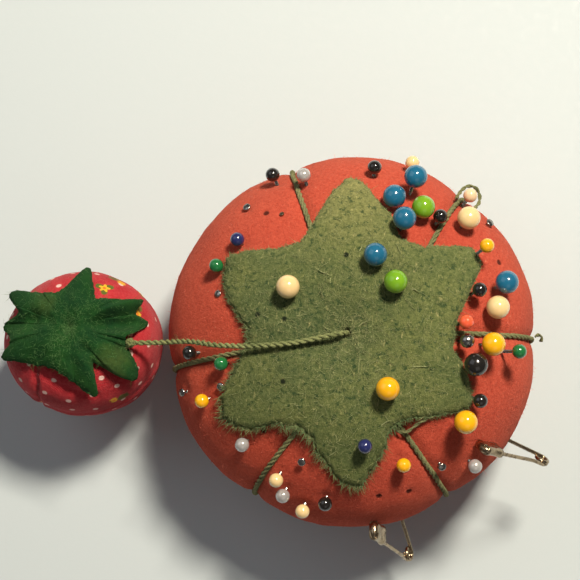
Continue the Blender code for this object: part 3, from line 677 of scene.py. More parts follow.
def star_felt():
    """Olive felt with a green stain near the middle, a faded side, dark specks, straw-coloured dust and painted
    shade in its needle holes.
    """
    surface = Surface("felt_green", 0.97, specular=0.08, sheen=0.10, sheen_roughness=0.6,
                      sheen_tint=(0.75, 0.80, 0.45))
    fine, height = felt_grain(surface, (0.7, 6.0, 0.75), (0.6, 4.0, 0.65), 4.5, 0.12)
    colour = surface.mix(surface.ramp(surface.noise(8.0, 4.0, 0.6), 0.36, 0.64), GREEN_DUSTY, GREEN_FADED)
    blotches = surface.times(surface.noise(4.0, 4.0), 22.0)
    colour = painted(surface, colour, (-5.0, 1.0, 42.0), 14.0, 16.0, 0.75, GREEN_STAIN, blotches)
    colour = painted(surface, colour, (3.0, 29.0, 36.0), 14.0, 18.0, 0.7, GREEN_PALE, blotches)
    colour = surface.mix(fine, surface.mix(0.75, colour, GREEN_SHADE), surface.mix(0.22, colour, STRAW))
    specks = surface.ramp(surface.noise(1.1, 5.0, 0.75), 0.54, 0.62)
    colour = surface.mix(surface.times(specks, 0.8), colour, GREEN_SPECK)
    straw = surface.ramp(surface.noise(0.9, 4.0, 0.7, stretch=(1.6, 0.7, 1.0)), 0.60, 0.72)
    colour = surface.mix(surface.times(straw, 0.6), colour, STRAW)
    # painted shade: the star's needle holes are darkened to stand in for the shade inside them
    surface.colour(pricked(surface, colour, STAR_PRICKS, STAR_LIFT + STAR_THICKNESS, 0.36, GREEN_HOLE_SHADE))
    surface.bump(height, 0.34)
    return surface.material


def leaf_cap_felt():
    """Deep green felt, with two leaves that light has faded to olive."""
    surface = Surface("felt_dark_green", 0.97, specular=0.05, sheen=0.06, sheen_roughness=0.6,
                      sheen_tint=(0.45, 0.75, 0.40))
    fine, height = felt_grain(surface, (0.7, 6.0, 0.7), (0.6, 4.0, 0.65), 4.5, 0.12)
    colour = surface.mix(surface.ramp(surface.noise(5.0, 3.0), 0.35, 0.65), LEAF_DEEP, LEAF)
    cloudy = surface.times(surface.noise(2.0, 4.0), 4.0)
    for x, y, z, reach in FADED_LEAVES:
        place = BERRY_PLACE @ Vector((x, y, z))
        colour = painted(surface, colour, place, reach, 3.5, 0.8, LEAF_FADED, cloudy)
    surface.colour(surface.mix(surface.times(fine, 0.6), surface.mix(0.5, colour, LEAF_SHADE), colour))
    surface.bump(height, 0.34)
    return surface.material


def printed_cotton():
    """Crimson cotton in a fine plain weave, printed with white dots and a few small yellow flowers.

    Its UV map counts the print's cells: one unit is one dot to the next.
    """
    surface = Surface("cotton_red", 0.85, specular=0.2, sheen=0.08, sheen_roughness=0.4)
    cells = surface.nodes.new("ShaderNodeUVMap").outputs[0]
    whole = surface.vector("FLOOR", cells)
    chance = surface.add("ShaderNodeTexWhiteNoise", {"noise_dimensions": "3D"}, Vector=whole)
    jitter = surface.vector("MULTIPLY_ADD", chance.outputs["Color"], (0.34, 0.34, 0.0), (0.33, 0.33, 0.0))
    part = surface.vector("SUBTRACT", cells, whole)
    apart = surface.add("ShaderNodeSeparateXYZ", Vector=surface.vector("SUBTRACT", part, jitter))
    x, y = apart.outputs[0], apart.outputs[1]
    far = surface.math("SQRT", surface.plus(surface.math("POWER", x, 2.0), surface.math("POWER", y, 2.0)))
    turn = surface.math("ARCTAN2", y, x)
    petals = surface.times(surface.math("COSINE", surface.times(turn, 5.0)), 0.055)
    leaves = surface.times(surface.math("COSINE", surface.times(turn, 3.0)), 0.13)
    is_flower = surface.math("GREATER_THAN", chance.outputs["Value"], 0.93)
    is_dot = surface.math("SUBTRACT", 1.0, is_flower)
    dot = surface.ramp(far, DOT_SIZE * 0.85, DOT_SIZE * 1.2, 1.0, 0.0)
    flower = surface.ramp(surface.math("SUBTRACT", far, petals), 0.15, 0.19, 1.0, 0.0)
    heart = surface.ramp(far, 0.05, 0.08, 1.0, 0.0)
    sprig = surface.ramp(surface.math("SUBTRACT", far, leaves), 0.23, 0.27, 1.0, 0.0)
    colour = surface.mix(surface.ramp(surface.noise(6.0, 3.0), 0.35, 0.65), COTTON_DARK, COTTON)
    wear = surface.ramp(surface.noise(0.5, 5.0, 0.7), 0.40, 0.66)
    colour = surface.mix(surface.times(wear, 0.30), colour, COTTON_WORN)
    for shape, paint in ((sprig, PRINT_GREEN), (flower, PRINT_YELLOW), (heart, PRINT_ORANGE)):
        colour = surface.mix(surface.times(shape, is_flower), colour, paint)
    colour = surface.mix(surface.times(surface.times(dot, is_dot), 0.88), colour, PRINT_WHITE)
    smear = surface.times(surface.noise(0.8, 4.0, 0.6), 1.6)
    for azimuth, angle in PRINT_FLOWERS:
        centre = BERRY_PLACE @ berry_point(azimuth, angle)
        leaf = BERRY_PLACE @ berry_point(azimuth + 7.0, angle - 3.0)
        for spot, size, paint in ((leaf, 1.9, PRINT_GREEN), (centre, 1.5, PRINT_YELLOW),
                                  (centre, 0.9, PRINT_ORANGE)):
            colour = painted(surface, colour, spot, size, 0.35, 0.9, paint, smear)
    centre = BERRY_PLACE @ berry_point(*PRINT_DAISY)
    for size, paint in ((2.3, PRINT_WHITE), (1.25, PRINT_BLUE)):
        colour = painted(surface, colour, centre, size, 0.3, 0.85, paint, smear)
    surface.colour(colour)
    threads = surface.vector("SCALE", cells)
    threads.inputs["Scale"].default_value = math.tau * PRINT_CELL / COTTON_PITCH
    warp = surface.add("ShaderNodeSeparateXYZ", Vector=threads)
    weave = surface.times(surface.math("SINE", warp.outputs[0]), surface.math("SINE", warp.outputs[1]))
    surface.bump(surface.plus(surface.times(weave, 0.5), surface.noise(1.2, 4.0)), 0.10)
    return surface.material


def yarn(name, dark, light, size=0.3):
    """Twisted thread, its fibres lighter and darker along it."""
    surface = Surface(name, 0.85, specular=0.2, sheen=0.3, sheen_tint=light)
    tangle = surface.ramp(surface.noise(size, 4.0, 0.65), 0.36, 0.64)
    clouds = surface.ramp(surface.noise(5.0, 2.0), 0.35, 0.65)
    share = surface.plus(surface.times(tangle, 0.6), surface.times(clouds, 0.4))
    surface.colour(surface.mix(share, dark, light))
    surface.bump(tangle, 0.06)
    return surface.material


def glass_head(name, colour, deep, metallic=0.0):
    """Glossy bead: a clear coat over colour that is a little deeper in places, with fine pits."""
    surface = Surface(name, 0.16, metallic, coat=0.6)
    surface.shader.inputs["Coat Roughness"].default_value = 0.05
    clouds = surface.ramp(surface.noise(2.2, 3.0, 0.5), 0.35, 0.70)
    dust = surface.ramp(surface.noise(0.5, 4.0, 0.7), 0.66, 0.78)
    body = surface.mix(surface.times(clouds, 0.35), colour, deep)
    surface.colour(surface.mix(surface.times(dust, 0.12), body, BEAD_DUST))
    surface.roughness(surface.ramp(clouds, 0.0, 1.0, 0.12, 0.24))
    surface.bump(surface.noise(1.6, 2.0), 0.05)
    return surface.material


def wire_metal(name, colour, tarnish):
    """Drawn wire: fine unevenness and a little tarnish."""
    surface = Surface(name, 0.25, 1.0)
    spots = surface.ramp(surface.noise(0.9, 5.0, 0.65), 0.45, 0.72)
    surface.colour(surface.mix(spots, colour, tarnish))
    surface.roughness(surface.ramp(spots, 0.0, 1.0, 0.18, 0.42))
    surface.bump(surface.noise(0.35, 4.0), 0.02)
    return surface.material


def floor_card():
    """Matt card, with hardly any unevenness in its colour."""
    surface = Surface("floor_card", FLOOR_ROUGHNESS)
    clouds = surface.noise(1.3, 3.0)
    surface.colour(surface.mix(clouds, tuple(c * 0.98 for c in FLOOR_COLOUR), FLOOR_COLOUR))
    surface.roughness(surface.ramp(clouds, 0.3, 0.7, FLOOR_ROUGHNESS * 0.75, FLOOR_ROUGHNESS * 1.3))
    surface.bump(surface.noise(0.6, 3.0), 0.01)
    return surface.material


# ---------------------------------------------------------------- pins

class Pin:
    """A pin as the solid model places it, in millimetres."""

    def __init__(self, name):
        self.name = name
        self.kind = name.split("_")[0]
        self.out = Vector(JOINTS[name + "_pull"]["axis"]).normalized()
        corners = [corner.co / MM for corner in frame["nodes"][name].data.vertices]
        self.top = max(corners, key=self.out.dot)
        self.point = min(corners, key=self.out.dot)
        self.entry = self.point + self.out * SHANK_LENGTH[self.kind]


def turned(profile, sides, points, faces):
    """Adds a profile of (radius, height) spun about Z; it starts and ends on the axis."""
    start = len(points)
    points.append(Vector((0, 0, profile[0][1])))
    for radius, height in profile[1:-1]:
        for k in range(sides):
            turn = math.tau * k / sides
            points.append(Vector((radius * math.cos(turn), radius * math.sin(turn), height)))
    points.append(Vector((0, 0, profile[-1][1])))
    rings = len(profile) - 2
    last = start + 1 + (rings - 1) * sides
    for k in range(sides):
        nxt = (k + 1) % sides
        faces.append((start, start + 1 + nxt, start + 1 + k))
        faces.append((last + k, last + nxt, len(points) - 1))
    faces += ring_faces(rings, sides, start=start + 1)


def bead_profile(size):
    """A round glass ball, with the collar it leaves on the shank as it sets."""
    collar = [(0, -size * 1.16), (SHANK_RADIUS + 0.06, -size * 1.15), (SHANK_RADIUS + 0.2, -size * 1.06)]
    ball = []
    for latitude in np.linspace(-66, 84, 14):
        turn = math.radians(latitude)
        ball.append((size * math.cos(turn), size * math.sin(turn)))
    return collar + ball + [(0, size)]


def flat_head_profile(size):
    return [(0, -0.42), (size * 0.5, -0.40), (size * 0.94, -0.34), (size, -0.22), (size * 0.93, -0.09),
            (size * 0.7, -0.02), (0, 0)]


def paint_from(piece, first_face, material):
    """Gives a second material to a mesh's faces from one of them on."""
    piece.data.materials.append(material)
    for face in piece.data.polygons[first_face:]:
        face.material_index = 1


def make_pins(pins, glass, steel):
    for pin in pins:
        size = HEAD_RADIUS[pin.kind]
        points, faces = [], []
        if pin.kind == "steel":
            name = pin.name + "_polished"
            turned([(r, z + size) for r, z in flat_head_profile(size)], FLAT_HEAD_SIDES, points, faces)
        else:
            name = pin.name + "_bead"
            turned(bead_profile(size), BEAD_SIDES, points, faces)
        head_faces = len(faces)
        low = (pin.point - pin.top).dot(pin.out) + size
        shank = [(0, low)]
        for share in (0.25, 0.5, 0.75, 1.0):
            shank.append((SHANK_RADIUS * share ** 0.7, low + POINT_LENGTH * share))
        shank += [(SHANK_RADIUS, -size * 0.9), (0, -size * 0.88)]
        turned(shank, SHANK_SIDES, points, faces)
        turn = pin.out.to_track_quat("Z", "Y").to_matrix().to_4x4()
        place = Matrix.Translation(pin.top - pin.out * size) @ turn
        piece = add_mesh(name, points, faces, glass.get(SLOTS[pin.name], steel), pin.name, [pin.name],
                         matrix=place)
        paint_from(piece, head_faces, steel)


def make_small_heads(materials):
    """Two more flat heads sunk in the felt, with nothing of their shanks to be seen."""
    for name, azimuth, radius, size, metal in SMALL_HEADS:
        angle = top_angle(radius)
        points, faces = [], []
        turned([(r, z + 0.3) for r, z in flat_head_profile(size)], FLAT_HEAD_SIDES, points, faces)
        turn = surface_normal(azimuth, angle).to_track_quat("Z", "Y").to_matrix().to_4x4()
        place = Matrix.Translation(cushion_point(azimuth, angle)) @ turn
        head = add_mesh(name, points, faces, materials[metal], "cushion", matrix=place)


# ---------------------------------------------------------------- cushion

def make_cushion_cover(pins, material):
    angles, _ = even_angles(cushion_meridian, TOP_ANGLE, BASE_ANGLE, CUSHION_ROWS)
    inner_angles, _ = even_angles(cushion_meridian, BASE_ANGLE, TOP_ANGLE, INNER_ROWS)
    azimuths = [360.0 * k / CUSHION_COLUMNS for k in range(CUSHION_COLUMNS)]
    places, normals = [], []
    for angle in angles:
        radius = cushion_meridian(angle)[0]
        pleated = BASE_PLEAT * (1 - blend(radius, 4.0, 13.0)) if angle < 0 else 0.0
        for azimuth in azimuths:
            full = cushion_point(azimuth, angle, creased=False)
            lumps = 0.20 * noise.noise(full * 0.13) + 0.09 * noise.noise(full * 0.45) - 0.08
            lumps += pleated * (math.cos(math.radians(azimuth * BASE_PLEATS)) - 1)
            places.append(cushion_point(azimuth, angle, lumps))
            normals.append(surface_normal(azimuth, angle))
    places, normals = np.array(places), np.array(normals)
    dents = [(pin.entry, 0.40, 1.3) for pin in pins]
    dents += [(cushion_point(azimuth, top_angle(radius)), 0.55, 0.45) for azimuth, radius in CUSHION_PRICKS]
    for centre, depth, width in dents:
        apart = ((places - np.array(centre)) ** 2).sum(axis=1)
        places -= normals * (depth * np.exp(-apart / width ** 2))[:, None]
    inner = [cushion_point(azimuth, angle, -COVER_THICKNESS)
             for angle in inner_angles for azimuth in azimuths]
    faces = ring_faces(CUSHION_ROWS + INNER_ROWS, CUSHION_COLUMNS, looped=True)
    cover = add_mesh("tomato_cover", list(places) + inner, faces, material, "cushion", ["cushion_cover"])
    return cover


def on_cushion_outside(centre, normal):
    return normal.dot(centre - Vector((0, 0, 20))) > 0 and centre.z > 3.0


def thread_path(thread):
    """A section thread's middle line, from under the star, over the rim and down to the base's middle."""
    angles, _ = even_angles(cushion_meridian, TOP_ANGLE, BASE_ANGLE, 150)
    path = []
    for angle in angles:
        radius = cushion_meridian(angle)[0]
        azimuth = thread_azimuth(thread, radius, angle)
        inward = furrow_depth(angle) - THREAD_RADIUS * 0.75
        wander = 0.10 * noise.noise(Vector((angle * 0.12, thread[0], 0.0)))
        point = cushion_point(azimuth, angle, -inward - lobe_drop(radius), creased=False)
        path.append(point + polar(azimuth + 90.0, 1.0) * wander)
    first, last = path[0], path[-1]
    path.insert(0, Vector((first.x * 0.4, first.y * 0.4, first.z - 0.6)))
    path.append(Vector((last.x * 0.4, last.y * 0.4, last.z + 0.4)))
    return even_path(path, 0.5)


def base_knot():
    """The middle line of the knot that ties the section threads under the base."""
    path = []
    for k in range(BASE_KNOT_STEPS):
        turn = math.tau * k / BASE_KNOT_STEPS
        reach = 1.05 + 0.45 * math.cos(3 * turn)
        path.append(Vector((reach * math.cos(2 * turn), reach * math.sin(2 * turn),
                            0.95 + 0.4 * math.sin(3 * turn))))
    return path + path[:1]


def make_section_threads(material):
    """The threads over the sections, the bundle through the middle and its knot, then the loose ends."""
    yarns = [(thread_path(thread), 3, THREAD_RADIUS, THREAD_PITCH, 6) for thread in THREADS]
    top = cushion_meridian(90.0)[1] + 0.1
    bundle = [Vector((0, 0, height)) for height in np.linspace(1.4, top, 60)]
    yarns.append((bundle, 5, BUNDLE_RADIUS, BUNDLE_PITCH, 8))
    yarns.append((base_knot(), 2, BASE_KNOT_YARN, BASE_KNOT_PITCH, 6))
    add_yarns("section_yarn", yarns, material, "cushion", ["section_thread"])
    for name, route, radius in LOOSE_YARNS:
        path = even_path(smooth_route(route, 8), 0.3)
        yarn_end = add_yarns(name, [(path, 2, radius, LOOSE_PITCH, 6)], material, "cushion")


# ---------------------------------------------------------------- cut felt shapes

def outline_radius(outline, azimuth):
    """Distance from the middle to a polar outline, whose corners are joined by straight lines."""
    ray = polar(azimuth, 1.0).to_2d()
    corners = [polar(turn, radius).to_2d() for turn, radius in outline]
    reach = 0.0
    for a, b in zip(corners, corners[1:] + corners[:1]):
        edge = b - a
        across = ray.x * edge.y - ray.y * edge.x
        if abs(across) > 1e-9:
            far = (a.x * edge.y - a.y * edge.x) / across
            share = (a.x * ray.y - a.y * ray.x) / across
            if far > 0 and 0 <= share <= 1:
                reach = max(reach, far)
    return reach


def rounded_radius(outline, azimuth, rounding):
    """The same with its corners rounded off, by an average over rounding degrees each way."""
    shares = ((-1.0, 0.15), (-0.5, 0.2), (0.0, 0.3), (0.5, 0.2), (1.0, 0.15))
    return sum(outline_radius(outline, azimuth + step * rounding) * share for step, share in shares)


def felt_sheet(name, outline, hole, columns, rows, ragged, under, thickness, rounding, material, body,
               node, matrix=None):
    """Felt cut to an outline: under(x, y, share) gives a point and normal of its underside.

    ragged(azimuth) is how far the cut edge strays. Returns the piece and the points of its top edge.
    """
    shares = list(np.linspace(0, 1, rows) ** 0.9)
    low, high = [], []
    edge = []
    for k in range(columns):
        azimuth = 360.0 * k / columns
        reach = rounded_radius(outline, azimuth, rounding) + ragged(azimuth)
        low_line, high_line = [], []
        for share in shares:
            place = polar(azimuth, hole + (reach - hole) * share)
            point, normal = under(place.x, place.y, share)
            thick = thickness * (1 - 0.38 * blend(share, 1 - 0.9 / reach, 1.0))
            low_line.append(point)
            high_line.append(point + normal * thick)
        place = polar(azimuth, reach + thickness * 0.2)
        point, normal = under(place.x, place.y, 1.0)
        edge.append(point + normal * thickness * 0.33)
        low.append(low_line)
        high.append(high_line)
    rings = [[low[k][row] for k in range(columns)] for row in range(rows)]
    rings.append(edge)
    rings += [[high[k][row] for k in range(columns)] for row in range(rows - 1, -1, -1)]
    points = [point for ring in rings for point in ring]
    faces = ring_faces(len(rings), columns, looped=True)
    piece = add_mesh(name, points, faces, material, body, [node], matrix=matrix)
    return piece, edge


def star_ragged(azimuth):
    """The star's edge is cut cleanly at the top and frayed round its lower side."""
    frayed = 0.45 + 0.75 * bell(turn_between(azimuth, 235.0), 75.0)
    place = polar(azimuth, 22.0)
    return frayed * (0.45 * noise.noise(place * 0.55) + 0.60 * noise.noise(place * 1.7)
                     + 0.45 * noise.noise(place * 4.1))


def star_under(x, y, share):
    radius, azimuth = math.hypot(x, y), math.degrees(math.atan2(y, x))
    angle = top_angle(radius)
    place = Vector((x, y, 0.0))
    lift = STAR_LIFT + 0.22 * noise.noise(place * 0.17) + 0.10 * noise.noise(place * 0.5)
    lift -= 0.25 * blend(share, 0.8, 1.0) + 0.25 * STAR_SAG * blend(radius, 14.0, 24.0)
    normal = surface_normal(azimuth, angle)
    base = polar(azimuth, radius, cushion_meridian(angle)[1])
    return base + Vector((0, 0, lift / max(normal.z, 0.35))), normal


def on_star_top(centre, normal):
    return normal.z > 0.3 and centre.length > 20


def make_star(material, fringe_material, pale_material):
    star, edge = felt_sheet("star_felt", STAR_OUTLINE, STAR_HOLE, STAR_COLUMNS, STAR_ROWS, star_ragged,
                            star_under, STAR_THICKNESS, STAR_ROUNDING, material, "cushion", "leaf_star")
    rng = np.random.default_rng(SEED)
    roots, directions, lengths = [], [], []
    for _ in range(STAR_FRINGE):
        point = edge[int(rng.integers(0, len(edge)))]
        azimuth = math.degrees(math.atan2(point.y, point.x))
        frayed = 0.35 + 0.65 * bell(turn_between(azimuth, 245.0), 70.0)
        out = polar(azimuth + float(rng.normal(0, 32)), 1.0, float(rng.normal(0.05, 0.35)))
        roots.append(point - out * 0.35 + Vector((0, 0, float(rng.uniform(-0.1, 0.4)))))
        directions.append(out.normalized())
        lengths.append(float(rng.uniform(0.6, 2.3)) * frayed)
    fringe = fibres("star_fringe", roots, directions, lengths, FRINGE_THICKNESS, fringe_material, "cushion",
                    SEED + 1, FRINGE_CURL)
    for name in ("star_fuzz", "straw_slivers"):
        scattered_fibres(name, star, "cushion", pale_material, on_star_top)


# ---------------------------------------------------------------- strawberry

def segment_distance(point, route):
    """Distance from a plan point to a chain of straight lines."""
    nearest = 1e9
    for a, b in zip(route, route[1:]):
        a, b = Vector(a), Vector(b)
        share = min(max((point - a).dot(b - a) / (b - a).length_squared, 0.0), 1.0)
        nearest = min(nearest, (point - a - (b - a) * share).length)
    return nearest


def berry_offset(azimuth, angle, radius):
    """Gathers round the crown, the seam with its puckers, the fold beside it, and slight unevenness."""
    place = berry_point(azimuth, angle)
    seam = SEAM_AZIMUTH - 11.0 * (1 - blend(radius, 8.0, 13.2)) if angle > 0 else SEAM_AZIMUTH
    apart = radius * math.radians(turn_between(azimuth, seam))
    puckers = 1 + 0.35 * math.sin(angle * 0.5)
    offset = -0.62 * puckers * bell(apart, 0.42) - 0.30 * bell(apart, 1.8)
    offset += 0.22 * bell(abs(apart) - 1.2, 0.7)
    if angle > 0:
        offset -= 0.5 * bell(segment_distance(place.to_2d(), FOLD_ROUTE), 0.7)
        gathers = math.cos(math.radians(azimuth * CROWN_GATHERS)) * (1 - blend(radius, 4.0, 12.0))
        offset += CROWN_GATHER * gathers - 0.2
    offset -= 0.5 * bell(turn_between(azimuth, 130.0), 45.0) * blend(angle, -20.0, 25.0)
    ripple = 0.16 * noise.noise(place * 0.22) + 0.07 * noise.noise(place * 0.7)
    return offset + ripple


def make_strawberry(material):
    opening = math.degrees(math.acos((BERRY_OPENING / BERRY_RADIUS) ** (1 / 0.75)))
    angles, length = even_angles(berry_meridian, opening, -88.0, BERRY_ROWS)
    inner_angles, _ = even_angles(berry_meridian, -84.0, opening, BERRY_INNER_ROWS)
    azimuths = [360.0 * k / BERRY_COLUMNS for k in range(BERRY_COLUMNS)]
    points = []
    for angle in angles:
        radius = berry_meridian(angle)[0]
        points += [berry_point(azimuth, angle, berry_offset(azimuth, angle, radius)) for azimuth in azimuths]
    for angle in inner_angles:
        points += [berry_point(azimuth, angle, -COTTON_THICKNESS) for azimuth in azimuths]
    outer_count = BERRY_ROWS * BERRY_COLUMNS
    faces = ring_faces(BERRY_ROWS, BERRY_COLUMNS)
    faces += ring_faces(BERRY_INNER_ROWS, BERRY_COLUMNS, start=outer_count)
    last = outer_count + (BERRY_INNER_ROWS - 1) * BERRY_COLUMNS
    for k in range(BERRY_COLUMNS):
        nxt = (k + 1) % BERRY_COLUMNS
        faces.append((last + k, last + nxt, nxt, k))
    points += [berry_point(0, -90), berry_point(0, -90, 0.0) + Vector((0, 0, COTTON_THICKNESS))]
    low, inner_low = (BERRY_ROWS - 1) * BERRY_COLUMNS, outer_count
    for k in range(BERRY_COLUMNS):
        nxt = (k + 1) % BERRY_COLUMNS
        faces.append((low + k, low + nxt, len(points) - 2))
        faces.append((inner_low + nxt, inner_low + k, len(points) - 1))
    cover = add_mesh("strawberry_cotton", points, faces, material, "strawberry", ["strawberry_cover"],
                     matrix=BERRY_PLACE)
    print_cells(cover, angles, length)


def print_cells(cover, angles, length):
    """UV map of the print: rows of cells round the berry, each row with as many as fit round it."""
    layer = cover.data.uv_layers.new(name="print").data
    spacing = length / (BERRY_ROWS - 1)
    for face in cover.data.polygons:
        rows = [index // BERRY_COLUMNS for index in face.vertices]
        if max(rows) >= BERRY_ROWS:
            continue
        columns = [index % BERRY_COLUMNS for index in face.vertices]
        wraps = max(columns) - min(columns) > BERRY_COLUMNS / 2
        band = int(min(rows) * spacing / PRINT_CELL)
        middle = min(int((band + 0.5) * PRINT_CELL / spacing), BERRY_ROWS - 1)
        around = max(round(math.tau * berry_meridian(angles[middle])[0] / PRINT_CELL), 3)
        for loop, row, column in zip(face.loop_indices, rows, columns):
            turn = (column + BERRY_COLUMNS if wraps and column == 0 else column) / BERRY_COLUMNS
            layer[loop].uv = (turn * around + 0.5 * (band % 2), row * spacing / PRINT_CELL)


def cap_under(x, y, share):
    """Underside of the leaf cap: a shallow dome, sewn down in the middle, its leaves curled and folded."""
    radius, azimuth = math.hypot(x, y), math.degrees(math.atan2(y, x))
    height = BERRY_EQUATOR + BERRY_TOP + LEAF_CAP_LIFT
    height -= (LEAF_CAP_DROP + 0.9) * (radius / LEAF_CAP_REACH) ** 2.4
    for tip, half_width, lift, curl in LEAVES:
        across = turn_between(azimuth, tip) / half_width
        if abs(across) < 1:
            near = (1 - across ** 2) ** 2
            height += near * blend(radius, 4.0, 13.0) * lift
            height += curl * (0.5 - math.cos(math.pi * across) * 0.5) * blend(radius, 3.0, 10.0)
    for fold_x, fold_y, width, depth in CAP_FOLDS:
        height += depth * math.exp(-((x - fold_x) ** 2 + (y - fold_y) ** 2) / width ** 2)
    place = Vector((x, y, 0.0))
    height += 0.30 * noise.noise(place * 0.3) + 0.14 * noise.noise(place * 0.9)
    return Vector((x, y, height)), Vector((0, 0, 1))


def cap_ragged(azimuth):
    place = polar(azimuth, 12.0)
    return 0.30 * noise.noise(place * 0.8) + 0.22 * noise.noise(place * 2.6)


def on_cap_top(centre, normal):
    return normal.z > 0.1


def make_leaf_cap(material, fuzz_material):
    cap, _ = felt_sheet("strawberry_leaves", LEAF_CAP_OUTLINE, CAP_HOLE, CAP_COLUMNS, CAP_ROWS, cap_ragged,
                        cap_under, CAP_THICKNESS, CAP_ROUNDING, material, "strawberry",
                        "strawberry_leaf_cap", BERRY_PLACE)
    scattered_fibres("leaf_fuzz", cap, "strawberry", fuzz_material, on_cap_top)


def everywhere(centre, normal):
    return True


def make_cord(material):
    path = even_path(smooth_route(CORD_ROUTE + [CORD_END], 8), 0.3)
    yarns = [(path, 2, CORD_RADIUS * CORD_FULLNESS, CORD_PITCH, 8)]
    cord = add_yarns("strawberry_yarn", yarns, material, "cord", ["strawberry_cord"])
    scattered_fibres("yarn_fuzz", cord, "cord", material, everywhere)


def make_knot(material):
    """The stitch that holds the cord, wound round its joint, and its loose tail."""
    centre = Vector(JOINTS["strawberry_tilt"]["pos_m"]) / MM
    winding = []
    for k in range(KNOT_STEPS + 1):
        turn = math.tau * 4 * k / KNOT_STEPS
        rise = 1.15 * math.sin(math.tau * 5 * k / KNOT_STEPS)
        winding.append(centre + polar(math.degrees(turn), KNOT_REACH * math.cos(rise),
                                      KNOT_REACH * math.sin(rise)))
    tail = even_path(smooth_route([centre + Vector(step) for step in KNOT_TAIL], 8), 0.2)
    yarns = [(winding, 2, KNOT_YARN, KNOT_PITCH, 6), (tail, 2, KNOT_YARN, KNOT_PITCH, 7)]
    add_yarns("strawberry_stitch", yarns, material, "strawberry", ["strawberry_knot"])


# ---------------------------------------------------------------- safety pins

def safety_pin_place(number):
    """Matrix of a safety pin, X along its spine and its arm on the +Y side, and the arm's angle."""
    hinge = JOINTS[f"safety_pin_{number}_open"]
    centre, z = Vector(hinge["pos_m"]) / MM, -Vector(hinge["axis"]).normalized()
    arm = -Vector(JOINTS[f"safety_pin_{number}_pull"]["axis"]).normalized()
    spine = frame["nodes"][f"safety_pin_{number}_spine"].data.vertices
    middle = sum((corner.co for corner in spine), Vector()) / len(spine) / MM - centre
    middle -= z * middle.dot(z)
    lean = math.atan2(COIL_MID_RADIUS, math.sqrt(middle.length_squared - COIL_MID_RADIUS ** 2))
    x = Matrix.Rotation(lean, 3, z) @ middle.normalized()
    y = z.cross(x)
    matrix = Matrix((x, y, z)).transposed().to_4x4()
    return Matrix.Translation(centre) @ matrix, math.atan2(arm.dot(y), arm.dot(x))


def cap_section(steps=14):
    """The guard's folded sheet seen along the spine: two rounded lobes round a slot on the arm's side."""
    outside, inside = [], []
    for k in range(steps + 1):
        turn = math.radians(-158 + 316 * k / steps)
        y, z = -math.cos(turn), math.sin(turn)
        pinch = 1 - 0.18 * bell(y, 0.35)
        across, up = math.copysign(abs(y) ** 0.75, y), math.copysign(abs(z) ** 0.8, z)
        outside.append((across * CAP_HALF_WIDTH, up * CAP_HALF_HEIGHT * pinch))
        inside.append((across * (CAP_HALF_WIDTH - CAP_SHEET_WIDE),
                       up * (CAP_HALF_HEIGHT - CAP_SHEET_TALL) * pinch))
    return outside + inside[::-1]


def make_safety_pin(number, brass):
    """An open safety pin: the arm runs into the coil, and the spine and its cap are the guard."""
    pin = f"safety_pin_{number}"
    place, angle = safety_pin_place(number)
    along = Vector((math.cos(angle), math.sin(angle), 0))
    beside = Vector((-math.sin(angle), math.cos(angle), 0)) * COIL_MID_RADIUS
    low = Vector((0, 0, COIL_RISE))
    wound = math.tau * 1.75 - angle
    path = [beside + along * (ARM_LENGTH - k * 0.5) - low for k in range(int(ARM_LENGTH / 0.5))]
    for k in range(COIL_STEPS + 1):
        turn = angle + math.pi / 2 + wound * k / COIL_STEPS
        path.append(Vector((COIL_MID_RADIUS * math.cos(turn), COIL_MID_RADIUS * math.sin(turn),
                            -COIL_RISE + 2 * COIL_RISE * k / COIL_STEPS)))
    sharp = POINT_LENGTH / (ARM_LENGTH + COIL_MID_RADIUS * wound)

    def arm_radius(share):
        return WIRE_RADIUS * (0.12 + 0.88 * min(share / sharp, 1.0) ** 0.8)

    add_wire(f"safety_wire_{number}_arm", path, arm_radius, WIRE_SIDES, brass, pin, pin + "_arm", place)
    spine = [Vector((0.15 + k * 0.7, -COIL_MID_RADIUS, COIL_RISE * (1 - blend(k, 0, 6)))) for k in range(26)]
    add_wire(f"safety_wire_{number}_spine", spine, WIRE_RADIUS, WIRE_SIDES, brass, pin + "_guard",
             pin + "_spine", place)

    points = []
    section = cap_section()
    for share in np.linspace(0, 1, CAP_RINGS):
        flare = 1 + 0.05 * math.cos(math.pi * 2 * share)
        x = SAFETY_PIN_LENGTH - CAP_LENGTH + share * (CAP_LENGTH - 0.7)
        points += [Vector((x, y * flare, z * flare)) for y, z in section]
    faces = ring_faces(CAP_RINGS, len(section), caps=True)
    nose = [(0, 0.0)] + [(math.sin(t), 1 - math.cos(t)) for t in np.linspace(0.15, math.pi / 2, 7)]
    nose += [(0.96, 1.25), (0, 1.3)]
    plug, plug_faces = [], []
    turned([(radius, -height * 0.9) for radius, height in nose], 24, plug, plug_faces)
    offset = len(points)
    points += [Vector((SAFETY_PIN_LENGTH - 0.02 + p.z, p.x * CAP_HALF_WIDTH, p.y * 0.93)) for p in plug]
    faces += [tuple(offset + k for k in face) for face in plug_faces]
    add_mesh(f"safety_guard_{number}", points, faces, brass, pin + "_guard", [pin + "_cap"], matrix=place)


# ---------------------------------------------------------------- the whole object

brass = wire_metal("brassed_steel", (0.42, 0.32, 0.21), (0.09, 0.06, 0.035))
steel = wire_metal("steel", (0.40, 0.385, 0.36), (0.15, 0.135, 0.12))
glass = {name: glass_head(name, *colours, metallic=0.35 if name == "pearl" else 0.0)
         for name, colours in BEADS.items()}

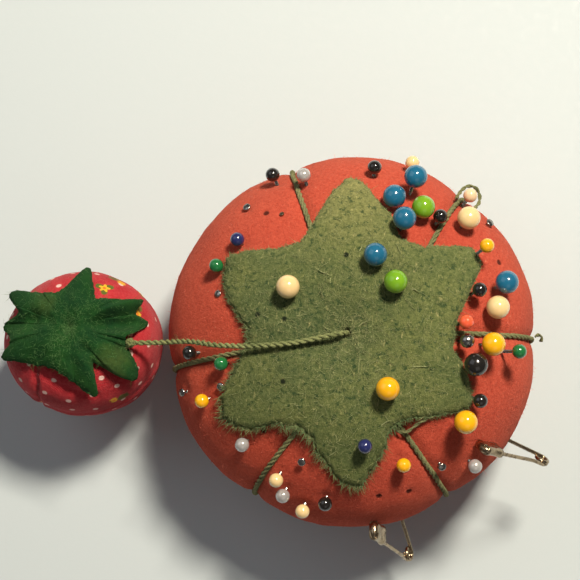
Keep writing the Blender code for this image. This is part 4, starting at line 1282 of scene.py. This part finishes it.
red_fibre = yarn("red_fibre", (0.50, 0.05, 0.03), (0.85, 0.25, 0.16))
green_fibre = yarn("green_fibre", (0.055, 0.110, 0.045), (0.26, 0.31, 0.13))
straw_fibre = yarn("straw_fibre", (0.11, 0.15, 0.06), (0.44, 0.44, 0.21))
leaf_fibre = yarn("leaf_fibre", (0.03, 0.10, 0.03), (0.12, 0.25, 0.08))
section_yarn = yarn("section_thread", (0.070, 0.085, 0.035), (0.280, 0.270, 0.125))
cord_yarn = yarn("cord_thread", (0.075, 0.100, 0.036), (0.310, 0.325, 0.135))

pins = [Pin(name) for name in PIN_NAMES]
cover = make_cushion_cover(pins, cushion_felt())
scattered_fibres("cover_fuzz", cover, "cushion", red_fibre, on_cushion_outside)
make_star(star_felt(), green_fibre, straw_fibre)
make_section_threads(section_yarn)
make_strawberry(printed_cotton())
make_leaf_cap(leaf_cap_felt(), leaf_fibre)
make_cord(cord_yarn)
make_knot(cord_yarn)
make_pins(pins, glass, steel)
make_small_heads({"brassed_steel": brass, "steel": steel})
for number in SAFETY_PIN_NUMBERS:
    make_safety_pin(number, brass)

for node, colour, dark in (("cushion_stuffing", (0.56, 0.46, 0.31), (0.38, 0.29, 0.18)),
                           ("emery_filling", (0.13, 0.11, 0.11), (0.05, 0.04, 0.04))):
    frame["nodes"][node].data.materials[0] = yarn(node, dark, colour, 1.5)

# Camera, light and floor
place, aim = Vector(CAMERA_PLACE) * MM, Vector(CAMERA_AIM) * MM
forward = (aim - place).normalized()
right = forward.cross(Vector((0, 1, 0))).normalized()
camera = add_object("camera", bpy.data.cameras.new("camera"))
camera.data.lens = CAMERA_LENS
camera.data.sensor_width = 36.0
camera.data.clip_start = 0.01
turn = Matrix((right, right.cross(forward), -forward)).transposed().to_4x4()
camera.matrix_world = Matrix.Translation(place) @ turn
bpy.context.scene.camera = camera

for name, place, size, power_watts, colour in LIGHTS:
    lamp = bpy.data.lights.new(name, "AREA")
    lamp.energy, lamp.size, lamp.color = power_watts, size, colour
    holder = add_object(name, lamp)
    holder.location = place
    holder.rotation_euler = (LAMP_AIM - Vector(place)).to_track_quat("-Z", "Y").to_euler()

world = bpy.data.worlds.new("studio")
world.use_nodes = True
background = world.node_tree.nodes["Background"]
background.inputs["Color"].default_value = WORLD_COLOUR
background.inputs["Strength"].default_value = WORLD_STRENGTH
bpy.context.scene.world = world
bpy.context.scene.view_settings.view_transform = "Standard"

floor_mesh = bpy.data.meshes.new("floor")
floor_mesh.from_pydata([(-FLOOR_REACH, -FLOOR_REACH, 0), (FLOOR_REACH, -FLOOR_REACH, 0),
                        (FLOOR_REACH, FLOOR_REACH, 0), (-FLOOR_REACH, FLOOR_REACH, 0)], [], [(0, 1, 2, 3)])
floor_mesh.materials.append(floor_card())
add_object("floor", floor_mesh)
